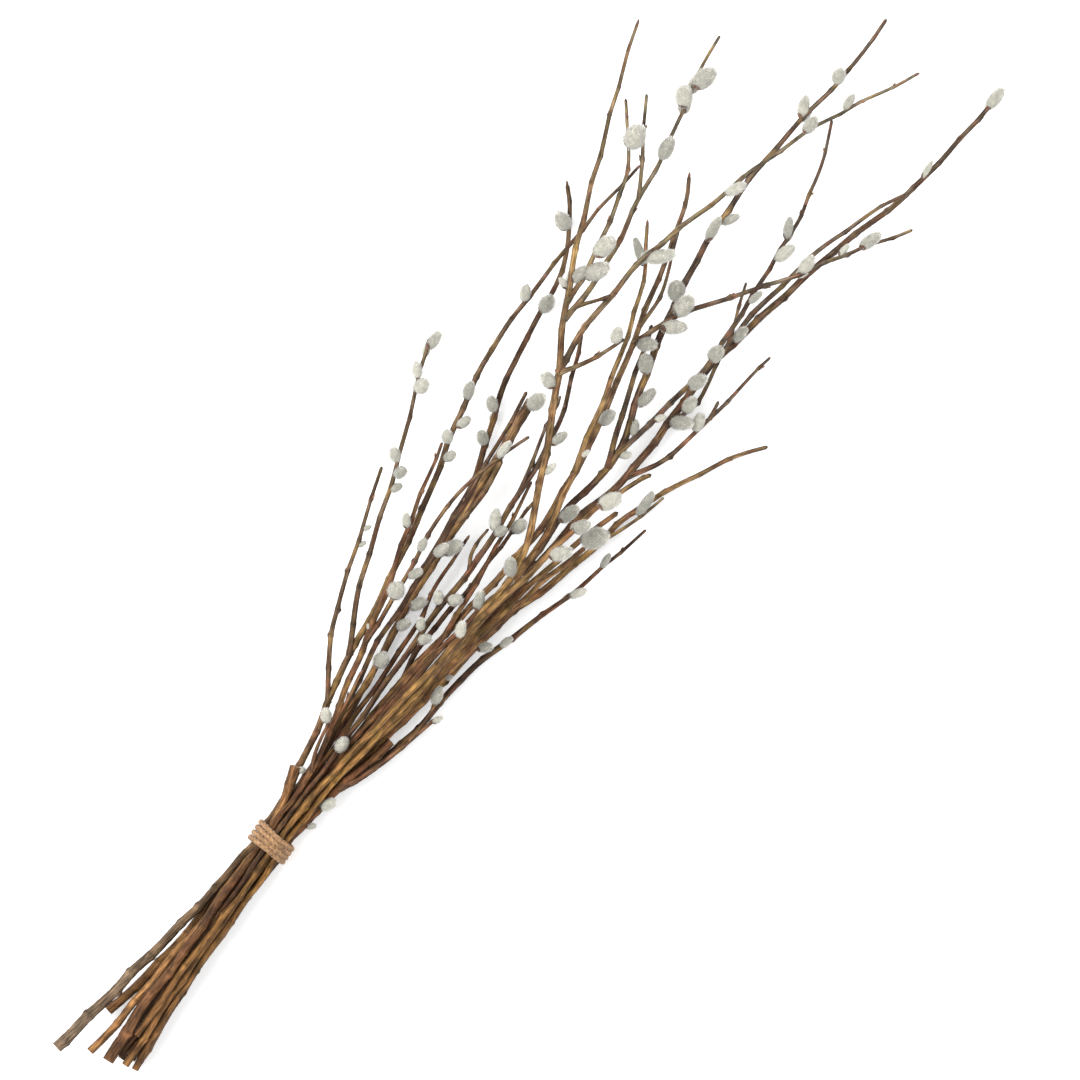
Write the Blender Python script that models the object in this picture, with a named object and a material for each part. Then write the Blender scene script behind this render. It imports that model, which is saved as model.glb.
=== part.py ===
# A bunch of pussy willow branches tied with jute twine, lying on its side.
# +X runs along the bunch from the cut ends to the tips, +Y to its left side and +Z up from the surface.
# Lengths in the tables are in millimetres.
import math

import bmesh
import bpy
import numpy as np
from mathutils import Vector

MM = 0.001
STEP = 12.0
CLEARANCE = 0.45
THINNING = 0.12
TWIG_SHARE = 0.95
MIDWAY = 0.6
LOOSE_FROM = 25.0
LOOSE_TO = 90.0
LOOSER = 3.0
TUBE_RESOLUTION = 1
THIN_TWIG = 1.4
SPREAD_TURNS = 700
SEED = 11

# Catkin: share of its length behind its middle, of its radius that its middle stands off the stem, of its
# radius from its ends to the ends of its middle line, and how far its middle may lie beside the stem.
CATKIN_BACK = 0.45
CATKIN_STAND_OFF = 0.8
CATKIN_END = 0.75
CATKIN_BESIDE = 0.6

# Spreading apart: share of the push that goes sideways, its strength, how it is eased along each stem at
# first, later and at the end, as shares of all turns, and how far and how often neighbours are sought.
SIDEWAYS = 0.6
PUSH = 1.4
EASE_FIRST = 0.5
EASE_LATER = 0.08
LATER_FROM = 0.6
UNEASED_FROM = 0.9
NEAR_MARGIN = 5.0
NEAR_TURNS = 20

TWINE_THICKNESS = 3.1
TWINE_TURNS = 4.2
TWINE_PITCH = 3.5
TWINE_STEPS = 24
TWINE_SLANT = 2.0
TWINE_FAN = 0.2
FLAT_DEPTH = 0.6
TIE_INNER_RADIUS = 11.9
TIE_HALF_WIDTH = 18.0
TIE_RADIUS = TIE_INNER_RADIUS + 0.35 + TWINE_THICKNESS / 2
TIE_HEIGHT = TIE_RADIUS + TWINE_THICKNESS / 2 - FLAT_DEPTH

# Colour, roughness.
BARKS = {
    "grey": ((0.26, 0.215, 0.155), 0.75),
    "tan": ((0.34, 0.215, 0.115), 0.7),
    "brown": ((0.175, 0.095, 0.05), 0.7),
    "golden": ((0.32, 0.19, 0.065), 0.65),
    "dark": ((0.10, 0.065, 0.04), 0.75),
}
TWINE_COLOUR = (0.55, 0.36, 0.2)

# Branch: bark, distance and angle of its place inside the tie, thickness at the cut end, at the tie, midway
# from there and at the tip, heights as (x, z) pairs, and its way from the cut end to the tip as (x, y) pairs.
LEADERS = {
    "branch_01": ("grey", 9.7, 0, (8.0, 4.8, 4.1, 2.2), ((-198, 24), (300, 44), (517, 62)), (
        (-198, 40.5), (-165, 33.5), (-125, 27), (-90, 20.5), (-50, 14), (0, 9.7), (30, 11.5), (60, 15.5),
        (90, 21), (110, 26.5), (131, 30), (164, 32.8), (200, 38.3), (238, 44.4), (263, 49.4), (290, 57),
        (326, 64.8), (362, 70.4), (400, 69.6), (446, 66.8), (483, 64), (517, 59))),
    "branch_02": ("brown", 9.7, 51, (8.2, 3.9, 4.3, 2.2), ((-185, 30), (-90, 29), (150, 38), (289, 52)), (
        (-185, 2.7), (-145, 5.3), (-92, 2.3), (-40, 3), (0, 6.1), (45, 4), (60, 6), (80, 9), (95, 12.5),
        (105, 17), (134, 22), (157, 28.3), (189, 34.5), (222, 45), (251, 52), (289, 60.4))),
    "branch_03": ("brown", 9.7, 309, (5.0, 3.8, 4.4, 3.1), ((-178, 3), (120, 4), (300, 4), (482, 5)), (
        (-178, 3.5), (-120, 4.5), (-60, 4.5), (0, 6.1), (50, 6), (100, 7), (161, 14), (191, 18.3),
        (220, 22.8), (278, 27.4), (311, 37.8), (341, 48.3), (385, 55.7), (426, 58.6), (452, 69),
        (467, 78), (482, 91.4))),
    "branch_04": ("tan", 9.7, 334, (6.5, 4.7, 4.6, 7.4), ((-158, 12), (100, 17), (348, 26)), (
        (-158, 24.7), (-125, 17.3), (-98, 13), (-50, 9), (0, 8.7), (50, 5), (95, 8), (137, 8.5),
        (172, 14.4), (210, 17.2), (262, 20), (317, 24.8), (348, 27))),
    "branch_05": ("golden", 9.7, 154, (4.8, 4.2, 4.9, 2.3), ((-180, 20), (-100, 22), (150, 44), (596, 108)), (
        (-180, -10.4), (-152, -6.5), (-85, -5.5), (0, -8.7), (60, -10.5), (85, -14.5), (120, -19),
        (151, -24), (182, -26), (231, -30.6), (250, -32), (264, -28), (291, -16.5), (320, -4),
        (350, 10.5), (377, 24.4), (400, 38), (430, 52.7), (460, 65.5), (486, 75.5), (521, 88.2),
        (560, 102.7), (596, 114))),
    "branch_06": ("dark", 9.7, 77, (5.2, 3.6, 4.2, 2.8), ((-178, 22), (-100, 24), (150, 26), (404, 48)), (
        (-178, 1.5), (-100, 0.5), (0, 2.2), (60, -1), (120, -1.7), (187, -2), (238, -5.6), (280, -3),
        (320, -1), (350, 3.5), (381, 15.2), (404, 25))),
    "branch_07": ("brown", 5.4, 347, (4.6, 3.3, 3.7, 2.2), ((-150, 13), (120, 15), (245, 22)), (
        (-150, 9), (-90, 7), (0, 5.3), (60, 3.5), (120, 4.4), (150, 4), (187, 6), (210, 11), (245, 11))),
    "branch_08": ("golden", 9.7, 129, (5.2, 3.8, 4.6, 2.5), ((-181, 25), (-100, 27), (150, 40), (490, 62)), (
        (-181, -4.7), (-138, -3.5), (-80, -3), (0, -6.1), (60, -9), (100, -17), (150, -26), (200, -31),
        (253, -34.4), (282, -33), (317, -25.7), (352, -17.8), (387, -10), (435, 3.2), (465, 14.5),
        (490, 31))),
    "branch_09": ("tan", 5.4, 296, (4.8, 3.7, 4.8, 2.9), ((-172, 8), (150, 20), (300, 34), (533, 48)), (
        (-172, 4), (-100, 4), (0, 2.4), (60, -4), (100, -8), (140, -10.5), (190, -18), (240, -25),
        (282, -29), (343, -23.9), (374, -17.8), (408, -11), (439, -2.7), (490, 9), (521, 18.6),
        (533, 25.5))),
    "branch_10": ("dark", 5.4, 244, (5.0, 3.7, 5.0, 2.6), ((-175, 10), (150, 18), (400, 32), (697, 52)), (
        (-175, -1), (-100, -0.5), (0, -2.4), (60, -7), (110, -14), (160, -22), (210, -28), (253, -34),
        (307, -34), (339, -42.6), (361, -40.4), (400, -28.5), (444, -18.2), (504, -9), (560, -8.3),
        (610, -14), (655, -21.8), (697, -22))),
    "branch_11": ("brown", 9.7, 283, (5.2, 4.0, 5.3, 3.2), ((-180, 3.5), (120, 8), (400, 10), (696, 20)), (
        (-180, -1), (-100, 0), (0, 2.2), (60, -9), (110, -19), (170, -30), (220, -37), (253, -40),
        (300, -44), (339, -55.7), (387, -57.8), (436, -58), (490, -69.5), (552, -83.3), (610, -102),
        (655, -109), (696, -113.5))),
    "branch_12": ("golden", 9.7, 257, (4.8, 3.8, 4.9, 2.7),
        ((-176, 5), (-100, 3), (100, 9), (300, 5), (414, 4)), (
        (-176, -4), (-100, -2.5), (0, -2.2), (60, -13), (100, -22), (130, -29), (173, -36), (214, -41.7),
        (248, -53.3), (282, -63.4), (324, -71.3), (363, -89.6), (397, -108), (414, -121.8))),
    "branch_13": ("dark", 9.7, 231, (4.4, 3.8, 4.4, 2.0),
        ((-168, 8), (-100, 7), (100, 12), (200, 13), (320, 12)), (
        (-168, -4), (-90, -3), (-40, -4.5), (0, -6.1), (40, -13.5), (60, -18.5), (80, -26), (95, -31.5),
        (110, -36), (135, -39.5), (160, -41), (180, -45), (209, -54.6), (259, -71.7), (320, -86.8))),
    "branch_14": ("brown", 9.7, 180, (5.0, 4.3, 5.0, 6.2), ((-172, 16), (-100, 17), (103, 18)), (
        (-172, -7), (-110, -3), (-45, -6.5), (0, -9.7), (40, -13), (66, -18), (80, -22), (103, -27))),
    "branch_15": ("brown", 5.4, 141, (4.6, 3.7, 4.4, 2.2), ((-174, 19), (-100, 19), (150, 33), (260, 46)), (
        (-174, -4), (-90, -2.5), (0, -4.2), (60, -8), (120, -13.5), (150, -16.5), (200, -23), (231, -30),
        (260, -38))),
    "branch_16": ("tan", 9.7, 26, (5.4, 4.5, 6.2, 8.2), ((-187, 26), (52, 27)), (
        (-187, 19.7), (-158, 15.3), (-112, 12), (-65, 7.2), (0, 8.7), (25, 11.5), (40, 14.5), (52, 19))),
    "branch_17": ("golden", 5.4, 193, (4.6, 3.8, 4.8, 3.6), ((-176, 12), (-100, 13), (150, 30), (318, 40)), (
        (-176, -5.5), (-110, -3), (-50, -4), (0, -5.3), (60, -12), (100, -20), (150, -27.5), (200, -36),
        (240, -43), (275, -51), (300, -58), (318, -64))),
    "branch_18": ("golden", 9.7, 103, (5.0, 3.9, 4.9, 3.2), ((-160, 27), (-100, 29), (150, 48), (352, 70)), (
        (-160, 0.5), (-100, 0), (0, -2.2), (60, -7), (100, -13), (150, -20.5), (200, -27), (240, -36.5),
        (280, -44), (310, -49), (335, -58), (352, -67))),
    "branch_19": ("dark", 5.4, 39, (4.6, 3.4, 3.7, 2.5), ((-150, 19), (120, 30), (350, 46)), (
        (-150, 6), (-90, 5.5), (0, 4.2), (50, 6.5), (100, 12), (150, 20), (200, 20.5), (250, 24),
        (300, 28.5), (350, 33.5))),
    "branch_20": ("brown", 5.4, 90, (4.6, 3.5, 3.8, 2.2), ((-172, 17), (-100, 18), (150, 24), (302, 34)), (
        (-172, 3), (-100, 2), (0, 0), (60, -3), (100, -8), (140, -12), (170, -15.5), (200, -15),
        (230, -12), (265, -9), (302, -4))),
    "branch_21": ("dark", 0.5, 0, (4.6, 3.5, 3.8, 2.2), ((-165, 14), (-100, 13), (150, 14), (292, 24)), (
        (-165, -3), (-100, -1), (0, 0), (60, -6), (100, -11), (133, -11.5), (150, -7.5), (168, -5.5),
        (195, -8.5), (220, -11.5), (245, -12), (292, -13.5))),
    "branch_22": ("tan", 9.7, 206, (4.8, 3.8, 4.8, 3.5), ((-178, 3), (-100, 9), (150, 18), (286, 26)), (
        (-178, -7), (-110, -3.5), (-50, -5.5), (0, -8.7), (60, -15.5), (100, -24), (130, -29),
        (160, -33), (200, -39), (230, -45), (260, -52), (286, -60))),
}

# Twig: branch and stem it grows from, thickness at both ends, height of its tip, and its way as (x, y) pairs.
TWIGS = {
    "a1": ("branch_01", None, (3.8, 2.4), 58, (
        (100, 24), (120, 38), (150, 53.3), (181, 63), (224, 76), (252, 84.7))),
    "a2": ("branch_01", None, (4.1, 2.6), 88, (
        (139, 32.8), (164, 46), (202, 59.4), (243, 71.7), (270, 80.6), (300, 92.5), (325, 101.5),
        (341, 107.5))),
    "b1": ("branch_02", None, (3.4, 2.2), 62, (
        (152, 26), (184, 26.7), (220, 31), (260, 34.4), (282, 28.3), (300, 25.5), (326, 14.8))),
    "b2": ("branch_02", None, (3.0, 2.1), 42, ((52, 4.5), (62, 10.5), (76, 13.2), (93, 15.5))),
    "b3": ("branch_02", None, (2.7, 2.3), 34, ((92, 11), (108, 13), (128, 16))),
    "d1": ("branch_04", None, (4.1, 3.6), 34, ((250, 19), (275, 17.5), (302, 20))),
    "e1": ("branch_05", None, (4.4, 2.1), 84, (
        (408, 41), (434, 37.3), (472, 40), (501, 46.4), (531, 48.2), (568, 56), (600, 62.3), (622, 64))),
    "e2": ("branch_05", "e1", (3.4, 2.3), 92, ((503, 46.6), (517, 55.5), (540, 68.7), (561, 81.5))),
    "e3": ("branch_05", None, (3.8, 2.2), 100, (
        (412, 43.5), (444, 46.5), (476, 53), (505, 59), (527, 71.3), (541, 83.5), (550, 91))),
    "e4": ("branch_05", "e1", (3.2, 2.0), 82, ((422, 38.5), (430, 29), (436, 24.5))),
    "e5": ("branch_05", None, (4.4, 2.1), 88, (
        (374, 22.5), (400, 26.2), (429, 24), (464, 21.4), (499, 12.3), (530, 2.3), (562, -6.3),
        (602, -20.5), (631, -34.6), (661, -51.3), (676, -59))),
    "e6": ("branch_05", None, (3.8, 2.3), 78, ((369, 20), (388, 11.7), (417, -0.5))),
    "f1": ("branch_06", None, (3.0, 1.9), 54, ((285, -2.8), (321, 4.8), (361, 12.6))),
    "f2": ("branch_06", None, (3.0, 1.9), 30, ((224, -3.5), (240, 4.4), (259, 1))),
    "i1": ("branch_09", None, (4.3, 2.3), 34, (
        (425, -6.5), (449, -18.2), (480, -41), (519, -70.5), (551, -89.7), (591, -117.7))),
    "i2": ("branch_09", None, (3.0, 2.0), 50, ((430, -5), (454, -5.5), (472, -0.5), (499, 10.5))),
    "j1": ("branch_10", None, (4.4, 3.0), 32, (
        (338, -42), (363, -31.7), (390, -24), (415, -16.8), (436, -10.5))),
    "j2": ("branch_10", None, (4.2, 2.2), 50, (
        (356, -41.5), (374, -46), (402, -51.4), (436, -57.3), (467, -56), (508, -53.6), (551, -51.3),
        (588, -43.6), (620, -30.8))),
    "k1": ("branch_11", None, (4.0, 2.4), 28, (
        (452, -61), (477, -61), (511, -67.3), (549, -75), (590, -90.4), (608, -100))),
    "k2": ("branch_11", None, (3.8, 2.0), 10, (
        (345, -56), (363, -68.7), (394, -77), (434, -83.6), (465, -88.8))),
    "k4": ("branch_11", "k2", (2.5, 2.3), 12, ((404, -78), (420, -77.3))),
    "k3": ("branch_11", None, (3.2, 2.0), 26, (
        (395, -57), (408, -67.5), (426, -64.5), (463, -58.6), (497, -46.4))),
    "l1": ("branch_12", None, (3.0, 1.9), 12, ((296, -66.5), (314, -74.8), (345, -84))),
    "n1": ("branch_14", None, (4.8, 2.2), 20, ((60, -17.5), (80, -29), (110, -36.5), (133, -43))),
    "n2": ("branch_14", "n1", (2.8, 1.9), 24, ((112, -37), (130, -38), (146, -36))),
}

# Silver catkins on the upper sides as (x, y, length, thickness), placed as seen from above.
CATKINS = (
    (25, -16, 8, 5), (44, -17, 14, 8), (54, 13, 6, 5), (83, -1, 13, 9), (94, 20, 11, 8), (159, 30, 6, 4),
    (137, -46.7, 9, 5), (146, 9, 13, 11), (149.4, -34.4, 14, 8), (162, -36, 6, 4), (174, 10, 12, 8),
    (181, 2, 10, 7), (174, -7, 10, 8), (191, 10, 14, 9), (191, 29, 14, 12), (193, -44.4, 12, 8),
    (194, -22, 13, 8), (203, 3, 11, 8), (203, 65, 7, 4), (214, 69, 7, 4), (204, -53, 12, 6),
    (207, 24, 12, 7), (208, -9, 11, 9), (217, -21, 15, 8), (226, 32, 11.5, 6.5), (230, 20, 13.5, 7.5),
    (233, 50.6, 12.5, 6.5), (236, 13, 16.5, 10.5), (248, 68, 9.5, 6.5), (248, -26, 14.5, 9.5),
    (258, 72, 10.5, 8.5), (259, -74, 14.5, 6.5), (264, -7, 10.5, 7.5), (265.5, 83, 11.5, 8.5),
    (268, 1, 16.5, 8.5), (274, -15, 13.5, 9.5), (275, -48.7, 17.5, 10.5), (286, 51, 10.5, 7.5),
    (288, -76.5, 12.5, 5.5), (296, 61, 10.5, 8.5), (300, -37.4, 18.5, 9.5), (298, -50, 14.5, 9.5),
    (297, -62.5, 21, 15), (309, 41.3, 11.5, 8.5), (310, 23.5, 16.5, 6.5), (310, 56.5, 12.5, 7.5),
    (314.6, 93.5, 12.5, 10.5), (318, -10.9, 11.5, 5.5), (321, 103, 14.5, 7.5), (323, -55.7, 20, 11.5),
    (330, 66.5, 14.5, 8.5), (331.5, 49, 12.5, 8.5), (334.6, -76.5, 22, 7.5), (338, -3, 14.5, 7.5),
    (340, -23.5, 7.5, 4), (349, 104.5, 15.5, 8.5), (353, 23, 15.5, 11.5), (355, -48, 9.5, 6.5),
    (365, 29, 13.5, 10.5), (369, -22.6, 14.5, 9.5), (374, -40, 12.5, 6.5), (389, -51.7, 9.5, 5.5),
    (395, -36, 17.5, 8.5), (394, -64.3, 18.5, 10.5), (402, -74, 14.5, 9), (408, -62.5, 15.5, 9),
    (406, 73, 13.5, 8), (409, 57, 15.5, 10.5), (414, -22, 15.5, 10.5), (425, -17, 14.5, 10.5),
    (418, 5, 12.5, 9), (424, -58, 15.5, 10.5), (425.5, 55.5, 9, 5.5), (437, 49, 15.5, 9),
    (446, 39, 19, 12.5), (444.5, -24, 19, 10.5), (447, -57, 13.5, 10.5), (461, 81, 14.5, 11.5),
    (461, -21, 18, 12.5), (462, 46, 20, 12.5), (467, -63, 15.5, 8), (467, -11, 15.5, 12.5),
    (470, 29, 21.5, 7), (478, 11, 21.5, 10.5), (493, -57, 13.5, 5.5), (514.5, -8, 21.5, 8),
    (527, -14, 14.5, 7), (529, -56, 18, 9), (531.5, -73, 15.5, 9), (535, 72, 19, 15), (540, 50, 19, 10.5),
    (544, -48, 17, 7), (544, -4, 18, 8), (554, -88, 11, 4.5), (569, -99, 19, 9), (576, 61, 17, 12.5),
    (594, 56, 20, 13.5), (609, -20.5, 15, 9), (618, -10, 17, 8.5), (631.5, -103, 15.5, 4.5),
    (636.5, -33, 14, 6.5), (649, -17.5, 13, 9.5), (703, -113.5, 19, 9),
)
# Catkins on the undersides, as a share of those on the upper sides, beyond a distance from the tie, and
# their size beside those above them.
HIDDEN_SHARE = 0.16
HIDDEN_FROM = 120.0
HIDDEN_SIZE = 0.7
# Small closed buds as (x, y).
BUDS = (
    (319, -30), (353.7, 68), (416, 67), (433, -84), (540, 79), (486, 76), (127, 16.5), (561, -50), (370, 10),
    (324, -72), (501, -70), (676, -58), (596, 114), (517, 59), (482, 91), (245, 12), (490, 31), (533, 25.5),
)


class Stem:
    """One leader or twig: points along its middle, in millimetres, and its radius at each point."""

    def __init__(self, branch, root, points, radii, leader):
        self.branch = branch
        self.root = root
        self.points = points
        self.radii = radii
        self.leader = leader
        self.spacing = float(np.linalg.norm(np.diff(points, axis=0), axis=1).mean())


def along(route, step):
    """Points evenly spaced along a route of (x, y) pairs, with the corners eased."""
    route = np.array(route, dtype=float)
    length = np.concatenate(([0.0], np.cumsum(np.linalg.norm(np.diff(route, axis=0), axis=1))))
    count = max(4, round(length[-1] / step) + 1)
    at = np.linspace(0.0, length[-1], count)
    points = np.column_stack([np.interp(at, length, route[:, k]) for k in (0, 1)])
    points[1:-1] = 0.5 * points[1:-1] + 0.25 * (points[:-2] + points[2:])
    return points


def nearest(stem, x, y):
    """Number of the stem's point that is nearest to (x, y) seen from above, and the distance to it."""
    away = np.hypot(stem.points[:, 0] - x, stem.points[:, 1] - y)
    best = int(np.argmin(away))
    return best, float(away[best])


def spot_at(stem, number):
    """The place on a stem's middle line at a point number that may lie between two points."""
    number = min(max(number, 0.0), len(stem.points) - 1.0)
    low = min(int(number), len(stem.points) - 2)
    share = number - low
    return stem.points[low] * (1.0 - share) + stem.points[low + 1] * share


def spot_near(stem, place):
    """Point number, between points too, where a stem is nearest to a place seen from above, and how near."""
    start = stem.points[:-1, :2]
    step = stem.points[1:, :2] - start
    share = np.clip(((place - start) * step).sum(axis=1) / (step * step).sum(axis=1), 0, 1)
    away = np.linalg.norm(start + share[:, None] * step - place, axis=1)
    best = int(np.argmin(away))
    return best + float(share[best]), float(away[best])


def grow_stems():
    """Leaders from the cut ends through the tie to the tips, then the twigs on them."""
    stems = {}
    for name, (bark, ring, angle, thickness, heights, route) in LEADERS.items():
        plan = along(route, STEP)
        turn = math.radians(angle)
        tie_height = TIE_HEIGHT + ring * math.sin(turn)
        marks = sorted(heights + ((0.0, tie_height),))
        z = np.interp(plan[:, 0], [m[0] for m in marks], [m[1] for m in marks])
        reach = plan[-1, 0]
        radii = np.interp(plan[:, 0], (plan[0, 0], 0.0, MIDWAY * reach, reach), thickness) / 2
        stems[name] = Stem(name, None, np.column_stack([plan, z]), radii, True)
    for name, (branch, parent, thickness, tip, route) in TWIGS.items():
        below = stems[parent or branch]
        at, _ = nearest(below, *route[0])
        root = below.points[at]
        plan = along(((root[0], root[1]),) + route[1:], STEP)
        z = np.linspace(root[2], tip, len(plan))
        thick = min(thickness[0], TWIG_SHARE * 2 * below.radii[at])
        radii = np.linspace(thick, thickness[1], len(plan)) / 2
        stems[name] = Stem(branch, (parent or branch, at), np.column_stack([plan, z]), radii, False)
    return stems


def grow_catkins(stems):
    """Each catkin as (stem, point, start, end, radius): start and end are measured from the stem's point."""
    rng = np.random.default_rng(SEED)
    grown = []
    for x, y, length, thickness in CATKINS:
        choice = None
        for name, stem in stems.items():
            at, away = spot_near(stem, (x, y))
            spot = spot_at(stem, at)
            reach = stem.radii[int(at)] + thickness / 2 + 0.5
            rank = (away > reach, away if away > reach else -spot[2])
            if choice is None or rank < choice[0]:
                choice = (rank, name, at)
        owner = choice[1]
        grown.append(seat_catkin(stems, owner, (x, y), length, thickness, 1.0))
        if rng.random() < HIDDEN_SHARE and x > HIDDEN_FROM:
            below = spot_at(stems[owner], max(choice[2] - rng.uniform(0.2, 0.8), 1.0))[:2]
            size = (length * HIDDEN_SIZE, thickness * HIDDEN_SIZE)
            grown.append(seat_catkin(stems, owner, below, *size, -1.0))
    return grown


def seat_catkin(stems, name, place, length, thickness, side):
    """A catkin's middle line from its seat in the stem, leaning to the tip, with its middle above place."""
    stem = stems[name]
    middle_at, _ = spot_near(stem, place)
    seat_at = max(middle_at - CATKIN_BACK * length / stem.spacing, 0.0)
    beside = spot_at(stem, middle_at)
    seat = spot_at(stem, seat_at)
    at = int(round(seat_at))
    radius = thickness / 2
    aside = np.array([place[0] - beside[0], place[1] - beside[1], 0.0])
    out = CATKIN_STAND_OFF * radius + stem.radii[at]
    span = float(np.linalg.norm(aside))
    if middle_at < len(stem.points) - 1.01 and span > out + CATKIN_BESIDE:
        aside *= (out + CATKIN_BESIDE) / span
        span = out + CATKIN_BESIDE
    aside[2] = side * math.sqrt(max(out * out - span * span, 0.0))
    seat = seat + aside * min(0.3, 0.6 * stem.radii[at] / max(float(np.linalg.norm(aside)), 0.1))
    axis = beside + aside - seat
    axis /= np.linalg.norm(axis)
    start = seat + axis * CATKIN_END * radius
    end = seat + axis * (length - CATKIN_END * radius)
    return name, at, start - stem.points[at], end - stem.points[at], radius


def looseness(x):
    """One near the tie, where the stems are packed, growing with the distance from it."""
    return 1.0 + (LOOSER - 1.0) * np.clip((np.abs(x) - LOOSE_FROM) / (LOOSE_TO - LOOSE_FROM), 0, 1)


def closest(p, q, u, v):
    """Where the straight lines p to q and u to v come nearest: shares along both, and the step between."""
    pq = q - p
    uv = v - u
    pu = p - u
    a = np.maximum(np.einsum("ij,ij->i", pq, pq), 1e-6)
    e = np.maximum(np.einsum("ij,ij->i", uv, uv), 1e-6)
    b = np.einsum("ij,ij->i", pq, uv)
    c = np.einsum("ij,ij->i", pq, pu)
    f = np.einsum("ij,ij->i", uv, pu)
    area = a * e - b * b
    s = np.where(area > 1e-6 * a * e, np.clip((b * f - c * e) / np.maximum(area, 1e-9), 0, 1), 0.5)
    t = np.clip((b * s + f) / e, 0, 1)
    s = np.clip((b * t - c) / a, 0, 1)
    return s, t, pu + s[:, None] * pq - t[:, None] * uv


def spread_apart(stems, catkins):
    """Moves the stems sideways and up until all branches are clear of each other, the tie and the surface."""
    names = list(stems)
    first = {}
    total = 0
    for name in names:
        first[name] = total
        total += len(stems[name].points)
    rest = np.vstack([stems[name].points for name in names])
    radii = np.concatenate([stems[name].radii for name in names])
    branch = {name: k for k, name in enumerate(sorted({stems[name].branch for name in names}))}

    def number(name, at):
        """A point's number among all points. A twig's first point is the stem's point that it grows from."""
        if at == 0 and stems[name].root:
            return number(*stems[name].root)
        return first[name] + at

    rows = []
    for name in names:
        for k in range(len(stems[name].points) - 1):
            thickest = max(stems[name].radii[k], stems[name].radii[k + 1])
            ends = (number(name, k), number(name, k + 1))
            rows.append((*ends, (0, 0, 0), (0, 0, 0), thickest, branch[stems[name].branch]))
    for name, at, start, end, radius in catkins:
        i = number(name, at)
        rows.append((i, i, tuple(start), tuple(end), radius, branch[stems[name].branch]))
    i0 = np.array([r[0] for r in rows])
    i1 = np.array([r[1] for r in rows])
    o0 = np.array([r[2] for r in rows], dtype=float)
    o1 = np.array([r[3] for r in rows], dtype=float)
    thick = np.array([r[4] for r in rows])
    owner = np.array([r[5] for r in rows])
    weight = np.array([0.0, SIDEWAYS, 1.0])
    place = rest.copy()
    lower, upper = np.triu_indices(len(rows), 1)
    apart = owner[lower] != owner[upper]
    lower, upper = lower[apart], upper[apart]
    for turn in range(SPREAD_TURNS):
        p, q = place[i0] + o0, place[i1] + o1
        if turn % NEAR_TURNS == 0:
            middle = (p + q) / 2
            half = np.linalg.norm(q - p, axis=1) / 2 + thick + NEAR_MARGIN
            near = np.linalg.norm(middle[lower] - middle[upper], axis=1) < half[lower] + half[upper]
            one, two = lower[near], upper[near]
        s, t, step = closest(p[one], q[one], p[two], q[two])
        gap = np.linalg.norm(step, axis=1)
        room = CLEARANCE * looseness(p[one, 0]) ** 0.6
        lack = thick[one] + thick[two] + room - gap
        hit = lack > 0
        direction = step[hit] / np.maximum(gap[hit], 1e-3)[:, None]
        direction[gap[hit] < 1e-3] = (0.0, 0.0, 1.0)
        push = direction * (0.5 * lack[hit])[:, None] * weight
        move = np.zeros_like(place)
        count = np.zeros(total)
        for sign, index, share in ((1.0, one[hit], s[hit]), (-1.0, two[hit], t[hit])):
            for ends, part in ((i0[index], 1.0 - share), (i1[index], share)):
                np.add.at(move, ends, sign * push * part[:, None] * PUSH)
                np.add.at(count, ends, part)
        place += move / np.maximum(count, 1.0)[:, None]
        ease = EASE_FIRST if turn < SPREAD_TURNS * LATER_FROM else EASE_LATER
        if turn > SPREAD_TURNS * UNEASED_FROM:
            ease = 0.0
        shift = place - rest
        for name in names:
            a, b = first[name], first[name] + len(stems[name].points)
            if stems[name].root:
                shift[a] = shift[number(name, 0)]
            part = shift[a:b].copy()
            shift[a + 1:b - 1] += ease * ((part[:-2] + part[2:]) / 2 - part[1:-1])
            if ease and not stems[name].root:
                shift[a] += ease * (part[1] - part[0]) * 0.5
            shift[b - 1] += ease * (part[-2] - part[-1]) * 0.5
        place = rest + shift
        for index, offset in ((i0, o0), (i1, o1)):
            under = thick - (place[index] + offset)[:, 2]
            np.maximum.at(place[:, 2], index[under > 0], (place[index, 2] + under)[under > 0])
        inside = np.abs(place[:, 0]) < TIE_HALF_WIDTH
        across = place[inside, 1:] - (0.0, TIE_HEIGHT)
        reach = np.linalg.norm(across, axis=1)
        limit = TIE_INNER_RADIUS - radii[inside]
        across *= np.minimum(1.0, limit / np.maximum(reach, 1e-6))[:, None]
        place[inside, 1:] = across + (0.0, TIE_HEIGHT)
    for name in names:
        a = first[name]
        stems[name].points = place[a:a + len(stems[name].points)]
        stems[name].points[0] = place[number(name, 0)]
    return float(lack.max()) if len(lack) else 0.0


def thinned(points, radii):
    """Numbers of the points that are needed to stay close to the whole line."""
    keep = {0, len(points) - 1}
    spans = [(0, len(points) - 1)]
    line = np.column_stack([points, radii])
    while spans:
        a, b = spans.pop()
        if b - a < 2:
            continue
        along_line = line[b] - line[a]
        share = np.clip((line[a + 1:b] - line[a]) @ along_line / (along_line @ along_line), 0, 1)
        off = np.linalg.norm(line[a + 1:b] - line[a] - share[:, None] * along_line, axis=1)
        off = off / looseness(points[a + 1:b, 0])
        worst = int(np.argmax(off))
        if off[worst] > THINNING:
            middle = a + 1 + worst
            keep.add(middle)
            spans += [(a, middle), (middle, b)]
    return sorted(keep)


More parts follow.
